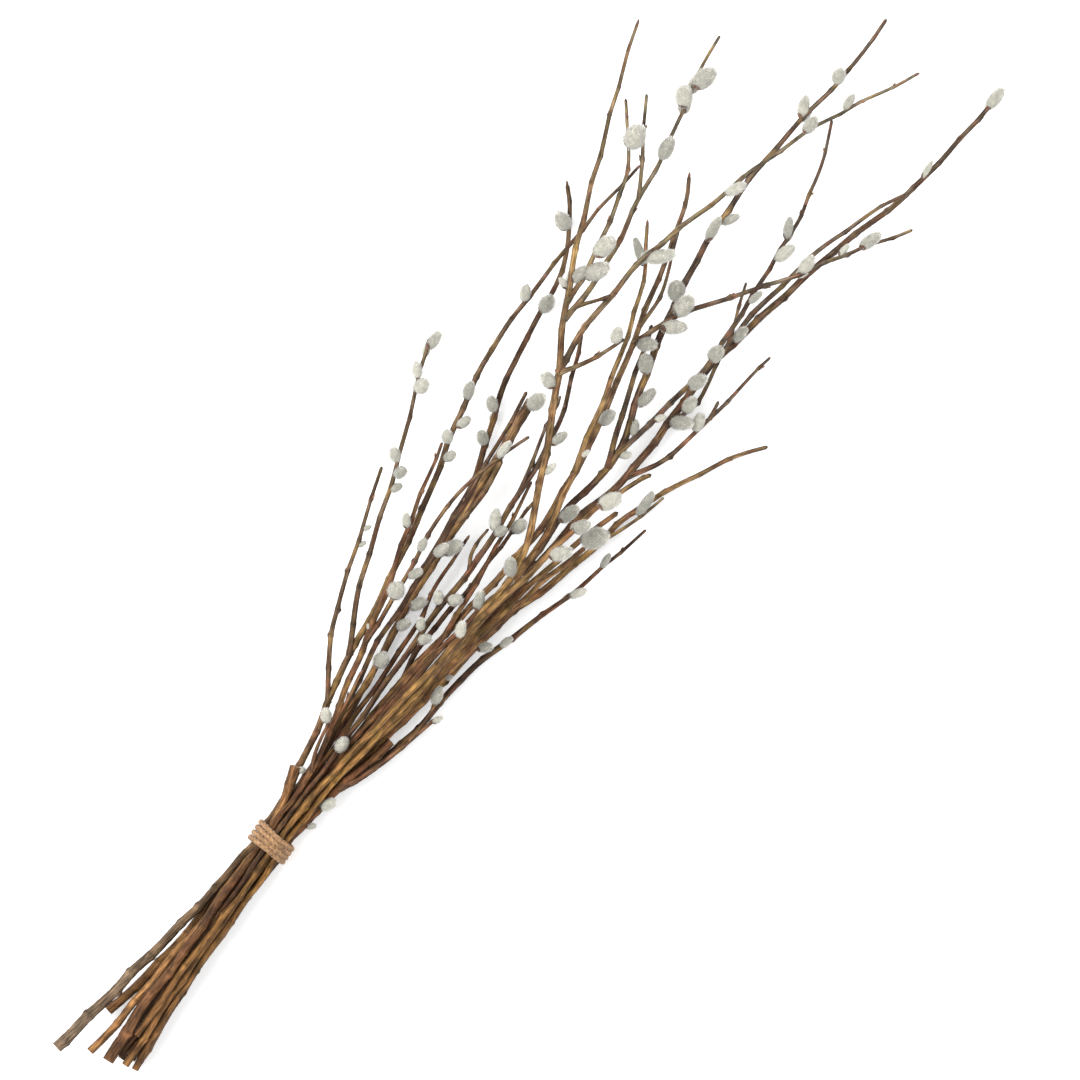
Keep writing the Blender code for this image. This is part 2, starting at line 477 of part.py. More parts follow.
def tube(name, points, radii, resolution=TUBE_RESOLUTION):
    """A closed tube along the points, in metres, through a bevelled curve."""
    curve = bpy.data.curves.new(name, "CURVE")
    curve.dimensions = "3D"
    curve.bevel_depth = 1.0
    curve.bevel_resolution = resolution
    curve.use_fill_caps = True
    spline = curve.splines.new("POLY")
    spline.points.add(len(points) - 1)
    for spot, where, radius in zip(spline.points, points, radii):
        spot.co = (*(float(c) * MM for c in where), 1.0)
        spot.radius = float(radius) * MM
    holder = bpy.data.objects.new(name, curve)
    bpy.context.scene.collection.objects.link(holder)
    bpy.context.view_layer.update()
    evaluated = holder.evaluated_get(bpy.context.evaluated_depsgraph_get())
    mesh = bpy.data.meshes.new_from_object(evaluated)
    mesh.name = name
    placed = holder.matrix_world.copy()
    bpy.data.objects.remove(holder)
    bpy.data.curves.remove(curve)
    body = bpy.data.objects.new(name, mesh)
    body.matrix_world = placed
    shape = bmesh.new()
    shape.from_mesh(mesh)
    bmesh.ops.remove_doubles(shape, verts=shape.verts, dist=0.00001)
    bmesh.ops.recalc_face_normals(shape, faces=shape.faces)
    shape.to_mesh(mesh)
    shape.free()
    return body


def egg(name, start, end, radius, segments=6, rings=4):
    """A closed egg shape round the line from start to end, a little thicker towards its seat."""
    start, end = Vector(start), Vector(end)
    axis = end - start
    half = (axis.length + 1.6 * radius) / 2
    shape = bmesh.new()
    bmesh.ops.create_uvsphere(shape, u_segments=segments, v_segments=rings, radius=1.0)
    turn = axis.to_track_quat("Z", "Y")
    middle = (start + end) / 2
    for vert in shape.verts:
        swell = 1.0 - 0.12 * vert.co.z
        flat = Vector((vert.co.x * radius * swell, vert.co.y * radius * swell, vert.co.z * half))
        vert.co = (middle + turn @ flat) * MM
    mesh = bpy.data.meshes.new(name)
    shape.to_mesh(mesh)
    shape.free()
    return bpy.data.objects.new(name, mesh)


def material(name, colour, roughness):
    made = bpy.data.materials.new(name)
    made.use_nodes = True
    shader = made.node_tree.nodes["Principled BSDF"]
    shader.inputs["Base Color"].default_value = (*colour, 1.0)
    shader.inputs["Roughness"].default_value = roughness
    shader.inputs["Metallic"].default_value = 0.0
    return made


def fuse(body, pieces, home):
    """One solid from a body and the pieces that grow from it, by one Boolean union."""
    home.objects.link(body)
    if pieces:
        group = bpy.data.collections.new(body.name + "_pieces")
        bpy.context.scene.collection.children.link(group)
        for piece in pieces:
            group.objects.link(piece)
        union = body.modifiers.new("union", "BOOLEAN")
        union.operation = "UNION"
        union.operand_type = "COLLECTION"
        union.collection = group
        bpy.context.view_layer.update()
        evaluated = body.evaluated_get(bpy.context.evaluated_depsgraph_get())
        mesh = bpy.data.meshes.new_from_object(evaluated)
        body.modifiers.clear()
        bare = body.data
        body.data = mesh
        bpy.data.meshes.remove(bare)
        for piece in pieces:
            bpy.data.objects.remove(piece)
        bpy.data.collections.remove(group)
    body.data.name = body.name
    return body


def bud_pieces(stems, branch):
    """Small closed buds that sit on the nearest stem and point towards its tip."""
    pieces = []
    for x, y in BUDS:
        name = min(stems, key=lambda n: nearest(stems[n], x, y)[1])
        if stems[name].branch != branch:
            continue
        at, _ = nearest(stems[name], x, y)
        last = len(stems[name].points) - 1
        spot = stems[name].points[at]
        ahead = stems[name].points[min(at + 1, last)] - stems[name].points[max(at - 1, 0)]
        ahead = ahead / np.linalg.norm(ahead)
        up = np.array([0.0, 0.0, 0.0 if at == last else 0.8 * stems[name].radii[at]])
        pieces.append(egg("bud", spot + up - 0.5 * ahead, spot + up * 1.5 + 2.2 * ahead, 1.25, 6, 4))
    return pieces


def build_branch(name, stems, catkins, home):
    leader = stems[name]
    keep = thinned(leader.points, leader.radii)
    body = tube(name, leader.points[keep], leader.radii[keep])
    pieces = []
    for other, stem in stems.items():
        if stem.branch == name and not stem.leader:
            keep = thinned(stem.points, stem.radii)
            sides = 0 if stem.radii.max() < THIN_TWIG else TUBE_RESOLUTION
            pieces.append(tube("twig", stem.points[keep], stem.radii[keep], sides))
    for owner, at, start, end, radius in catkins:
        if stems[owner].branch == name:
            spot = stems[owner].points[at]
            pieces.append(egg("catkin", spot + start, spot + end, radius))
    pieces += bud_pieces(stems, name)
    fuse(body, pieces, home)
    bark = LEADERS[name][0]
    body.data.materials.clear()
    body.data.materials.append(material(name, *BARKS[bark]))
    return body


def build_tie(home):
    """Twine wound round the stems, cut flat underneath where the bunch rests on it."""
    count = round(TWINE_TURNS * TWINE_STEPS)
    points = []
    for k in range(count + 1):
        turn = k / TWINE_STEPS - TWINE_TURNS / 2
        angle = 2 * math.pi * turn - math.pi / 2
        fan = 1.0 + TWINE_FAN * max(math.cos(angle), 0.0)
        x = turn * TWINE_PITCH * fan + TWINE_SLANT * math.cos(angle)
        points.append((x, TIE_RADIUS * math.cos(angle), TIE_HEIGHT + TIE_RADIUS * math.sin(angle)))
    body = tube("tie", points, [TWINE_THICKNESS / 2] * len(points))
    shape = bmesh.new()
    shape.from_mesh(body.data)
    faces = shape.verts[:] + shape.edges[:] + shape.faces[:]
    cut = bmesh.ops.bisect_plane(shape, geom=faces, dist=1e-7, plane_co=(0, 0, 0), plane_no=(0, 0, -1),
                                 clear_outer=True)
    rim = [e for e in cut["geom_cut"] if isinstance(e, bmesh.types.BMEdge)]
    bmesh.ops.contextual_create(shape, geom=rim)
    bmesh.ops.holes_fill(shape, edges=shape.edges[:], sides=0)
    bmesh.ops.recalc_face_normals(shape, faces=shape.faces)
    shape.to_mesh(body.data)
    shape.free()
    home.objects.link(body)
    body.data.materials.append(material("tie", TWINE_COLOUR, 0.9))
    return body


for old in list(bpy.data.objects):
    bpy.data.objects.remove(old)
bunch = bpy.data.collections.new("willow_bunch")
bpy.context.scene.collection.children.link(bunch)
all_stems = grow_stems()
all_catkins = grow_catkins(all_stems)
short_by = spread_apart(all_stems, all_catkins)
print("largest lack of clearance, mm:", round(short_by, 3))
for branch_name in LEADERS:
    made_branch = build_branch(branch_name, all_stems, all_catkins, bunch)
    print(branch_name, sum(len(p.vertices) - 2 for p in made_branch.data.polygons))
made_tie = build_tie(bunch)
print("tie", sum(len(p.vertices) - 2 for p in made_tie.data.polygons))
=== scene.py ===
# Looks of the tied bunch of pussy willow branches: bark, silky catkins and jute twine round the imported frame.
# +X runs along the bunch from the cut ends to the tips, +Y to its left side and +Z up from the surface.
# Lengths are in millimetres, as in the part's own source. Colours are linear red, green and blue.
import math

import bpy
import numpy as np
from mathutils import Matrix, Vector


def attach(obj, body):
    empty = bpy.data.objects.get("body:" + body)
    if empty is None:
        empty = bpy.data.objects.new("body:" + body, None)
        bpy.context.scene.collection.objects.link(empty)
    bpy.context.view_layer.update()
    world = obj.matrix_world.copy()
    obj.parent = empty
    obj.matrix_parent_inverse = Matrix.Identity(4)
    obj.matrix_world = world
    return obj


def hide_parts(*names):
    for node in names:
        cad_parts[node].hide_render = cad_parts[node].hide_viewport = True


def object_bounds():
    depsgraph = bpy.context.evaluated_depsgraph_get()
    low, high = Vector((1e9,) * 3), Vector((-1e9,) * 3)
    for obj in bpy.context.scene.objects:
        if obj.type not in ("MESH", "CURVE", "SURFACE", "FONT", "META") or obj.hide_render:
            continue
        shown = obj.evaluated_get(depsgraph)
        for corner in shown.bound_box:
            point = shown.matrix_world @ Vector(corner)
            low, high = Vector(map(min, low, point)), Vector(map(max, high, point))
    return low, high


MM = 0.001
FULL_TURN = 2 * math.pi
UP = np.array((0.0, 0.0, 1.0))
SEED = 11

# Layout: distance between a stem's points, free room between branches, a twig's thickness beside its stem's,
# where along a stem its third thickness holds, and how much looser the stems lie away from the tie.
STEP = 12.0
CLEARANCE = 0.45
TWIG_SHARE = 0.95
MIDWAY = 0.6
LOOSE_FROM = 25.0
LOOSE_TO = 90.0
LOOSER = 3.0
SPREAD_TURNS = 700

# Catkin: share of its length behind its middle, of its radius that its middle stands off the stem, of its
# radius from its ends to the ends of its middle line, and how far its middle may lie beside the stem.
CATKIN_BACK = 0.45
CATKIN_STAND_OFF = 0.8
CATKIN_END = 0.75
CATKIN_BESIDE = 0.6

# Spreading apart: share of the push that goes sideways, its strength, how it is eased along each stem at
# first, later and at the end, as shares of all turns, and how far and how often neighbours are sought.
SIDEWAYS = 0.6
PUSH = 1.4
EASE_FIRST = 0.5
EASE_LATER = 0.08
LATER_FROM = 0.6
UNEASED_FROM = 0.9
NEAR_MARGIN = 5.0
NEAR_TURNS = 20

TWINE_THICKNESS = 3.1
TWINE_TURNS = 4.2
TWINE_PITCH = 3.5
TWINE_SLANT = 2.0
TWINE_FAN = 0.2
FLAT_DEPTH = 0.6
TIE_INNER_RADIUS = 11.9
TIE_HALF_WIDTH = 18.0
TIE_RADIUS = TIE_INNER_RADIUS + 0.35 + TWINE_THICKNESS / 2
TIE_HEIGHT = TIE_RADIUS + TWINE_THICKNESS / 2 - FLAT_DEPTH

# Twine: points along it and sides round each ply, its plies, their radius, their distance from the middle and
# the length of one full twist, and its stray fibres with their length and half their width.
TWINE_POINTS = 620
PLY_SIDES = 10
PLIES = 3
PLY_RADIUS = 1.18
PLY_OFFSET = 0.84
PLY_TWIST = 10.0
STRAYS = 1500
STRAY_LENGTH = (0.8, 2.6)
STRAY_WIDTH = 0.05
TWINE_TONE = np.array((0.41, 0.235, 0.115))
STRAY_TONE = np.array((0.62, 0.40, 0.22))

# Stem: parts of each span, sides round a thick and a thin one and the radius between them, the gaps between
# its joints, where they start, its bare tip, the turn from bud to bud, and its zigzag bend at the joints.
SPAN_PARTS = 8
THICK_SIDES = 14
THIN_SIDES = 9
THICK_FROM = 1.6
JOINT_GAP = (15.0, 32.0)
JOINT_START = (-10.0, 6.0)
MOST_JOINTS = 60
BARE_TIP = 4.0
BUD_TURN = 2.4
BEND = 0.55

# Joints, with swellings as shares of the radius: a stout and a slim stem's and the radius between them, their
# length, the extra one under a bud with its length and arc, the one at a twig's root with its length, and how
# high the bark's long ridges and its fine roughness stand.
STOUT_KNOT = 0.10
SLIM_KNOT = 0.24
STOUT_FROM = 1.9
KNOT_LENGTH = 2.0
BUD_SWELLING = 2.6
BUD_LENGTH = 1.5
BUD_ARC = 0.8
ROOT_SWELLING = 0.35
ROOT_LENGTH = 5.0
RIDGE = 0.05
ROUGHNESS = 0.022

# Joint's colours: depth and length of its dark scar, the scar's share on the side away from the bud, and
# strength, distance and length of the pale ring before it.
SCAR_DEPTH = 0.50
SCAR_LENGTH = 0.9
SCAR_ALL_ROUND = 0.35
PALE_RING = 0.22
PALE_RING_BEFORE = 2.4
PALE_RING_LENGTH = 1.4

# Bark patches: length of each, range of their light and of their hue, from olive below zero to red above it,
# and the hue's strength near the tie and beyond it.
PATCH = 7.0
PATCH_LIGHT = (0.50, 1.60)
PATCH_HUE = (-0.8, 1.0)
HUE_PLACES = (16.0, 100.0)
HUE_STRENGTH = (0.18, 0.6)
RED_BARK = (0.15, 0.052, 0.021)
OLIVE_BARK = (0.25, 0.145, 0.036)
JOINT_LIGHT = (0.35, 1.3)
STREAKS = ((2, 0.16), (5, 0.12))

# Painted shade on the bark, light on top and dark on its sides: its light on the sides, what is added on top,
# and how far its underside counts as turned down.
PAINTED_SIDE_LIGHT = 0.23
PAINTED_TOP_LIGHT = 0.86
UNDERSIDE = -0.1
# Painted shade where the stems are packed at the tie: its depth, the middle of it and its reach along the
# bunch.
TIE_SHADE = 0.18
TIE_SHADE_AT = -30.0
TIE_SHADE_REACH = 70.0

# Bark colours at the cut end, along the middle and at the tip, and where along the bunch they are reached.
TONES = {
    "grey": ((0.150, 0.110, 0.072), (0.157, 0.086, 0.039), (0.104, 0.084, 0.062)),
    "tan": ((0.207, 0.100, 0.037), (0.224, 0.110, 0.040), (0.128, 0.098, 0.067)),
    "brown": ((0.118, 0.054, 0.022), (0.140, 0.059, 0.024), (0.092, 0.070, 0.050)),
    "golden": ((0.129, 0.059, 0.021), (0.235, 0.116, 0.031), (0.132, 0.110, 0.070)),
    "dark": ((0.090, 0.041, 0.017), (0.084, 0.041, 0.021), (0.072, 0.056, 0.042)),
}
TONE_PLACES = (-200.0, 25.0, 700.0)
TWIG_AHEAD = 180.0

# Sawn end: colour of the wood, radii of the wood and of the pith as shares of the stem's, and the radius
# from which a tip is sawn off too.
WOOD_TONE = np.array((0.34, 0.22, 0.11))
WOOD_SHARE = 0.82
PITH_SHARE = 0.2
SAWN_FROM = 2.5

# Catkin's looks: hairs on one whose length times radius is the next value, the body's size beside the whole,
# the taper of its egg shape, the turn from hair to hair, a hair's length beside the catkin's radius, half its
# width, its painted shade from dark roots to lighter tips, and the colours of hairs, body and scale.
HAIRS = 1100
HAIRS_FOR = 60.0
CORE = 0.90
EGG_TAPER = 0.12
SPIRAL_TURN = 2.399963
HAIR_LENGTH = (0.16, 0.352)
HAIR_WIDTH = (0.07, 0.13)
PAINTED_HAIR_SHADE = np.array((0.55, 0.55, 0.95, 0.95, 1.25))
HAIR_TONE = np.array((1.0, 0.975, 0.90))
BODY_TONE = np.array((0.50, 0.49, 0.41))
CATKIN_SCALE_TONE = np.array((0.11, 0.05, 0.028))

# Closed buds: colour, length and thickness at a joint and where the table places one, the thickest stem that
# bears one at its joints, and the least distance to a catkin's seat.
JOINT_BUD_TONE = np.array((0.20, 0.09, 0.04))
JOINT_BUD_LENGTH = (2.6, 4.0)
JOINT_BUD_THICKNESS = 1.5
LISTED_BUD_TONE = np.array((0.17, 0.07, 0.035))
LISTED_BUD_LENGTH = 5.0
LISTED_BUD_THICKNESS = 2.3
BUD_STEM_RADIUS = 1.7
BUD_CLEAR = 11.0

# View from above as in the photo: width and middle of the picture, its roll, the camera's height in metres,
# the height of the stems that the picture's width holds for, and the width of the camera's sensor.
FRAME_WIDTH = 734.4
VIEW_CENTRE = (273.7, -31.7)
VIEW_ROLL = math.radians(-55)
CAMERA_HEIGHT = 9.0
SUBJECT_HEIGHT = 35.0
SENSOR = 36.0

# Studio, in metres: light of the surroundings, place, target and power of each lamp, their size, and the
# floor's half width, place and glow.
WORLD_LIGHT = 0.85
LAMPS = {"key": ((-0.3, 1.3, 2.0), (0.2, 0.0, 0.0), 52.0), "fill": ((1.4, -1.0, 1.6), (0.3, 0.0, 0.0), 10.0)}
LAMP_SIZE = 2.0
FLOOR_HALF = 6.0
FLOOR_PLACE = (0.25, 0.0, -0.0002)
FLOOR_GLOW = 0.3

# Branch: bark, distance and angle of its place inside the tie, thickness at the cut end, at the tie, midway
# from there and at the tip, heights as (x, z) pairs, and its way from the cut end to the tip as (x, y) pairs.
LEADERS = {
    "branch_01": ("grey", 9.7, 0, (8.0, 4.8, 4.1, 2.2), ((-198, 24), (300, 44), (517, 62)), (
        (-198, 40.5), (-165, 33.5), (-125, 27), (-90, 20.5), (-50, 14), (0, 9.7), (30, 11.5), (60, 15.5),
        (90, 21), (110, 26.5), (131, 30), (164, 32.8), (200, 38.3), (238, 44.4), (263, 49.4), (290, 57),
        (326, 64.8), (362, 70.4), (400, 69.6), (446, 66.8), (483, 64), (517, 59))),
    "branch_02": ("brown", 9.7, 51, (8.2, 3.9, 4.3, 2.2), ((-185, 30), (-90, 29), (150, 38), (289, 52)), (
        (-185, 2.7), (-145, 5.3), (-92, 2.3), (-40, 3), (0, 6.1), (45, 4), (60, 6), (80, 9), (95, 12.5),
        (105, 17), (134, 22), (157, 28.3), (189, 34.5), (222, 45), (251, 52), (289, 60.4))),
    "branch_03": ("brown", 9.7, 309, (5.0, 3.8, 4.4, 3.1), ((-178, 3), (120, 4), (300, 4), (482, 5)), (
        (-178, 3.5), (-120, 4.5), (-60, 4.5), (0, 6.1), (50, 6), (100, 7), (161, 14), (191, 18.3),
        (220, 22.8), (278, 27.4), (311, 37.8), (341, 48.3), (385, 55.7), (426, 58.6), (452, 69),
        (467, 78), (482, 91.4))),
    "branch_04": ("tan", 9.7, 334, (6.5, 4.7, 4.6, 7.4), ((-158, 12), (100, 17), (348, 26)), (
        (-158, 24.7), (-125, 17.3), (-98, 13), (-50, 9), (0, 8.7), (50, 5), (95, 8), (137, 8.5),
        (172, 14.4), (210, 17.2), (262, 20), (317, 24.8), (348, 27))),
    "branch_05": ("golden", 9.7, 154, (4.8, 4.2, 4.9, 2.3), ((-180, 20), (-100, 22), (150, 44), (596, 108)), (
        (-180, -10.4), (-152, -6.5), (-85, -5.5), (0, -8.7), (60, -10.5), (85, -14.5), (120, -19),
        (151, -24), (182, -26), (231, -30.6), (250, -32), (264, -28), (291, -16.5), (320, -4),
        (350, 10.5), (377, 24.4), (400, 38), (430, 52.7), (460, 65.5), (486, 75.5), (521, 88.2),
        (560, 102.7), (596, 114))),
    "branch_06": ("dark", 9.7, 77, (5.2, 3.6, 4.2, 2.8), ((-178, 22), (-100, 24), (150, 26), (404, 48)), (
        (-178, 1.5), (-100, 0.5), (0, 2.2), (60, -1), (120, -1.7), (187, -2), (238, -5.6), (280, -3),
        (320, -1), (350, 3.5), (381, 15.2), (404, 25))),
    "branch_07": ("brown", 5.4, 347, (4.6, 3.3, 3.7, 2.2), ((-150, 13), (120, 15), (245, 22)), (
        (-150, 9), (-90, 7), (0, 5.3), (60, 3.5), (120, 4.4), (150, 4), (187, 6), (210, 11), (245, 11))),
    "branch_08": ("golden", 9.7, 129, (5.2, 3.8, 4.6, 2.5), ((-181, 25), (-100, 27), (150, 40), (490, 62)), (
        (-181, -4.7), (-138, -3.5), (-80, -3), (0, -6.1), (60, -9), (100, -17), (150, -26), (200, -31),
        (253, -34.4), (282, -33), (317, -25.7), (352, -17.8), (387, -10), (435, 3.2), (465, 14.5),
        (490, 31))),
    "branch_09": ("tan", 5.4, 296, (4.8, 3.7, 4.8, 2.9), ((-172, 8), (150, 20), (300, 34), (533, 48)), (
        (-172, 4), (-100, 4), (0, 2.4), (60, -4), (100, -8), (140, -10.5), (190, -18), (240, -25),
        (282, -29), (343, -23.9), (374, -17.8), (408, -11), (439, -2.7), (490, 9), (521, 18.6),
        (533, 25.5))),
    "branch_10": ("dark", 5.4, 244, (5.0, 3.7, 5.0, 2.6), ((-175, 10), (150, 18), (400, 32), (697, 52)), (
        (-175, -1), (-100, -0.5), (0, -2.4), (60, -7), (110, -14), (160, -22), (210, -28), (253, -34),
        (307, -34), (339, -42.6), (361, -40.4), (400, -28.5), (444, -18.2), (504, -9), (560, -8.3),
        (610, -14), (655, -21.8), (697, -22))),
    "branch_11": ("brown", 9.7, 283, (5.2, 4.0, 5.3, 3.2), ((-180, 3.5), (120, 8), (400, 10), (696, 20)), (
        (-180, -1), (-100, 0), (0, 2.2), (60, -9), (110, -19), (170, -30), (220, -37), (253, -40),
        (300, -44), (339, -55.7), (387, -57.8), (436, -58), (490, -69.5), (552, -83.3), (610, -102),
        (655, -109), (696, -113.5))),
    "branch_12": ("golden", 9.7, 257, (4.8, 3.8, 4.9, 2.7),
        ((-176, 5), (-100, 3), (100, 9), (300, 5), (414, 4)), (
        (-176, -4), (-100, -2.5), (0, -2.2), (60, -13), (100, -22), (130, -29), (173, -36), (214, -41.7),
        (248, -53.3), (282, -63.4), (324, -71.3), (363, -89.6), (397, -108), (414, -121.8))),
    "branch_13": ("dark", 9.7, 231, (4.4, 3.8, 4.4, 2.0),
        ((-168, 8), (-100, 7), (100, 12), (200, 13), (320, 12)), (
        (-168, -4), (-90, -3), (-40, -4.5), (0, -6.1), (40, -13.5), (60, -18.5), (80, -26), (95, -31.5),
        (110, -36), (135, -39.5), (160, -41), (180, -45), (209, -54.6), (259, -71.7), (320, -86.8))),
    "branch_14": ("brown", 9.7, 180, (5.0, 4.3, 5.0, 6.2), ((-172, 16), (-100, 17), (103, 18)), (
        (-172, -7), (-110, -3), (-45, -6.5), (0, -9.7), (40, -13), (66, -18), (80, -22), (103, -27))),
    "branch_15": ("brown", 5.4, 141, (4.6, 3.7, 4.4, 2.2), ((-174, 19), (-100, 19), (150, 33), (260, 46)), (
        (-174, -4), (-90, -2.5), (0, -4.2), (60, -8), (120, -13.5), (150, -16.5), (200, -23), (231, -30),
        (260, -38))),
    "branch_16": ("tan", 9.7, 26, (5.4, 4.5, 6.2, 8.2), ((-187, 26), (52, 27)), (
        (-187, 19.7), (-158, 15.3), (-112, 12), (-65, 7.2), (0, 8.7), (25, 11.5), (40, 14.5), (52, 19))),
    "branch_17": ("golden", 5.4, 193, (4.6, 3.8, 4.8, 3.6), ((-176, 12), (-100, 13), (150, 30), (318, 40)), (
        (-176, -5.5), (-110, -3), (-50, -4), (0, -5.3), (60, -12), (100, -20), (150, -27.5), (200, -36),
        (240, -43), (275, -51), (300, -58), (318, -64))),
    "branch_18": ("golden", 9.7, 103, (5.0, 3.9, 4.9, 3.2), ((-160, 27), (-100, 29), (150, 48), (352, 70)), (
        (-160, 0.5), (-100, 0), (0, -2.2), (60, -7), (100, -13), (150, -20.5), (200, -27), (240, -36.5),
        (280, -44), (310, -49), (335, -58), (352, -67))),
    "branch_19": ("dark", 5.4, 39, (4.6, 3.4, 3.7, 2.5), ((-150, 19), (120, 30), (350, 46)), (
        (-150, 6), (-90, 5.5), (0, 4.2), (50, 6.5), (100, 12), (150, 20), (200, 20.5), (250, 24),
        (300, 28.5), (350, 33.5))),
    "branch_20": ("brown", 5.4, 90, (4.6, 3.5, 3.8, 2.2), ((-172, 17), (-100, 18), (150, 24), (302, 34)), (
        (-172, 3), (-100, 2), (0, 0), (60, -3), (100, -8), (140, -12), (170, -15.5), (200, -15),
        (230, -12), (265, -9), (302, -4))),
    "branch_21": ("dark", 0.5, 0, (4.6, 3.5, 3.8, 2.2), ((-165, 14), (-100, 13), (150, 14), (292, 24)), (
        (-165, -3), (-100, -1), (0, 0), (60, -6), (100, -11), (133, -11.5), (150, -7.5), (168, -5.5),
        (195, -8.5), (220, -11.5), (245, -12), (292, -13.5))),
    "branch_22": ("tan", 9.7, 206, (4.8, 3.8, 4.8, 3.5), ((-178, 3), (-100, 9), (150, 18), (286, 26)), (
        (-178, -7), (-110, -3.5), (-50, -5.5), (0, -8.7), (60, -15.5), (100, -24), (130, -29),
        (160, -33), (200, -39), (230, -45), (260, -52), (286, -60))),
}

# Twig: branch and stem it grows from, thickness at both ends, height of its tip, and its way as (x, y) pairs.
TWIGS = {
    "a1": ("branch_01", None, (3.8, 2.4), 58, (
        (100, 24), (120, 38), (150, 53.3), (181, 63), (224, 76), (252, 84.7))),
    "a2": ("branch_01", None, (4.1, 2.6), 88, (
        (139, 32.8), (164, 46), (202, 59.4), (243, 71.7), (270, 80.6), (300, 92.5), (325, 101.5),
        (341, 107.5))),
    "b1": ("branch_02", None, (3.4, 2.2), 62, (
        (152, 26), (184, 26.7), (220, 31), (260, 34.4), (282, 28.3), (300, 25.5), (326, 14.8))),
    "b2": ("branch_02", None, (3.0, 2.1), 42, ((52, 4.5), (62, 10.5), (76, 13.2), (93, 15.5))),
    "b3": ("branch_02", None, (2.7, 2.3), 34, ((92, 11), (108, 13), (128, 16))),
    "d1": ("branch_04", None, (4.1, 3.6), 34, ((250, 19), (275, 17.5), (302, 20))),
    "e1": ("branch_05", None, (4.4, 2.1), 84, (
        (408, 41), (434, 37.3), (472, 40), (501, 46.4), (531, 48.2), (568, 56), (600, 62.3), (622, 64))),
    "e2": ("branch_05", "e1", (3.4, 2.3), 92, ((503, 46.6), (517, 55.5), (540, 68.7), (561, 81.5))),
    "e3": ("branch_05", None, (3.8, 2.2), 100, (
        (412, 43.5), (444, 46.5), (476, 53), (505, 59), (527, 71.3), (541, 83.5), (550, 91))),
    "e4": ("branch_05", "e1", (3.2, 2.0), 82, ((422, 38.5), (430, 29), (436, 24.5))),
    "e5": ("branch_05", None, (4.4, 2.1), 88, (
        (374, 22.5), (400, 26.2), (429, 24), (464, 21.4), (499, 12.3), (530, 2.3), (562, -6.3),
        (602, -20.5), (631, -34.6), (661, -51.3), (676, -59))),
    "e6": ("branch_05", None, (3.8, 2.3), 78, ((369, 20), (388, 11.7), (417, -0.5))),
    "f1": ("branch_06", None, (3.0, 1.9), 54, ((285, -2.8), (321, 4.8), (361, 12.6))),
    "f2": ("branch_06", None, (3.0, 1.9), 30, ((224, -3.5), (240, 4.4), (259, 1))),
    "i1": ("branch_09", None, (4.3, 2.3), 34, (
        (425, -6.5), (449, -18.2), (480, -41), (519, -70.5), (551, -89.7), (591, -117.7))),
    "i2": ("branch_09", None, (3.0, 2.0), 50, ((430, -5), (454, -5.5), (472, -0.5), (499, 10.5))),
    "j1": ("branch_10", None, (4.4, 3.0), 32, (
        (338, -42), (363, -31.7), (390, -24), (415, -16.8), (436, -10.5))),
    "j2": ("branch_10", None, (4.2, 2.2), 50, (
        (356, -41.5), (374, -46), (402, -51.4), (436, -57.3), (467, -56), (508, -53.6), (551, -51.3),
        (588, -43.6), (620, -30.8))),
    "k1": ("branch_11", None, (4.0, 2.4), 28, (
        (452, -61), (477, -61), (511, -67.3), (549, -75), (590, -90.4), (608, -100))),
    "k2": ("branch_11", None, (3.8, 2.0), 10, (
        (345, -56), (363, -68.7), (394, -77), (434, -83.6), (465, -88.8))),
    "k4": ("branch_11", "k2", (2.5, 2.3), 12, ((404, -78), (420, -77.3))),
    "k3": ("branch_11", None, (3.2, 2.0), 26, (
        (395, -57), (408, -67.5), (426, -64.5), (463, -58.6), (497, -46.4))),
    "l1": ("branch_12", None, (3.0, 1.9), 12, ((296, -66.5), (314, -74.8), (345, -84))),
    "n1": ("branch_14", None, (4.8, 2.2), 20, ((60, -17.5), (80, -29), (110, -36.5), (133, -43))),
    "n2": ("branch_14", "n1", (2.8, 1.9), 24, ((112, -37), (130, -38), (146, -36))),
}

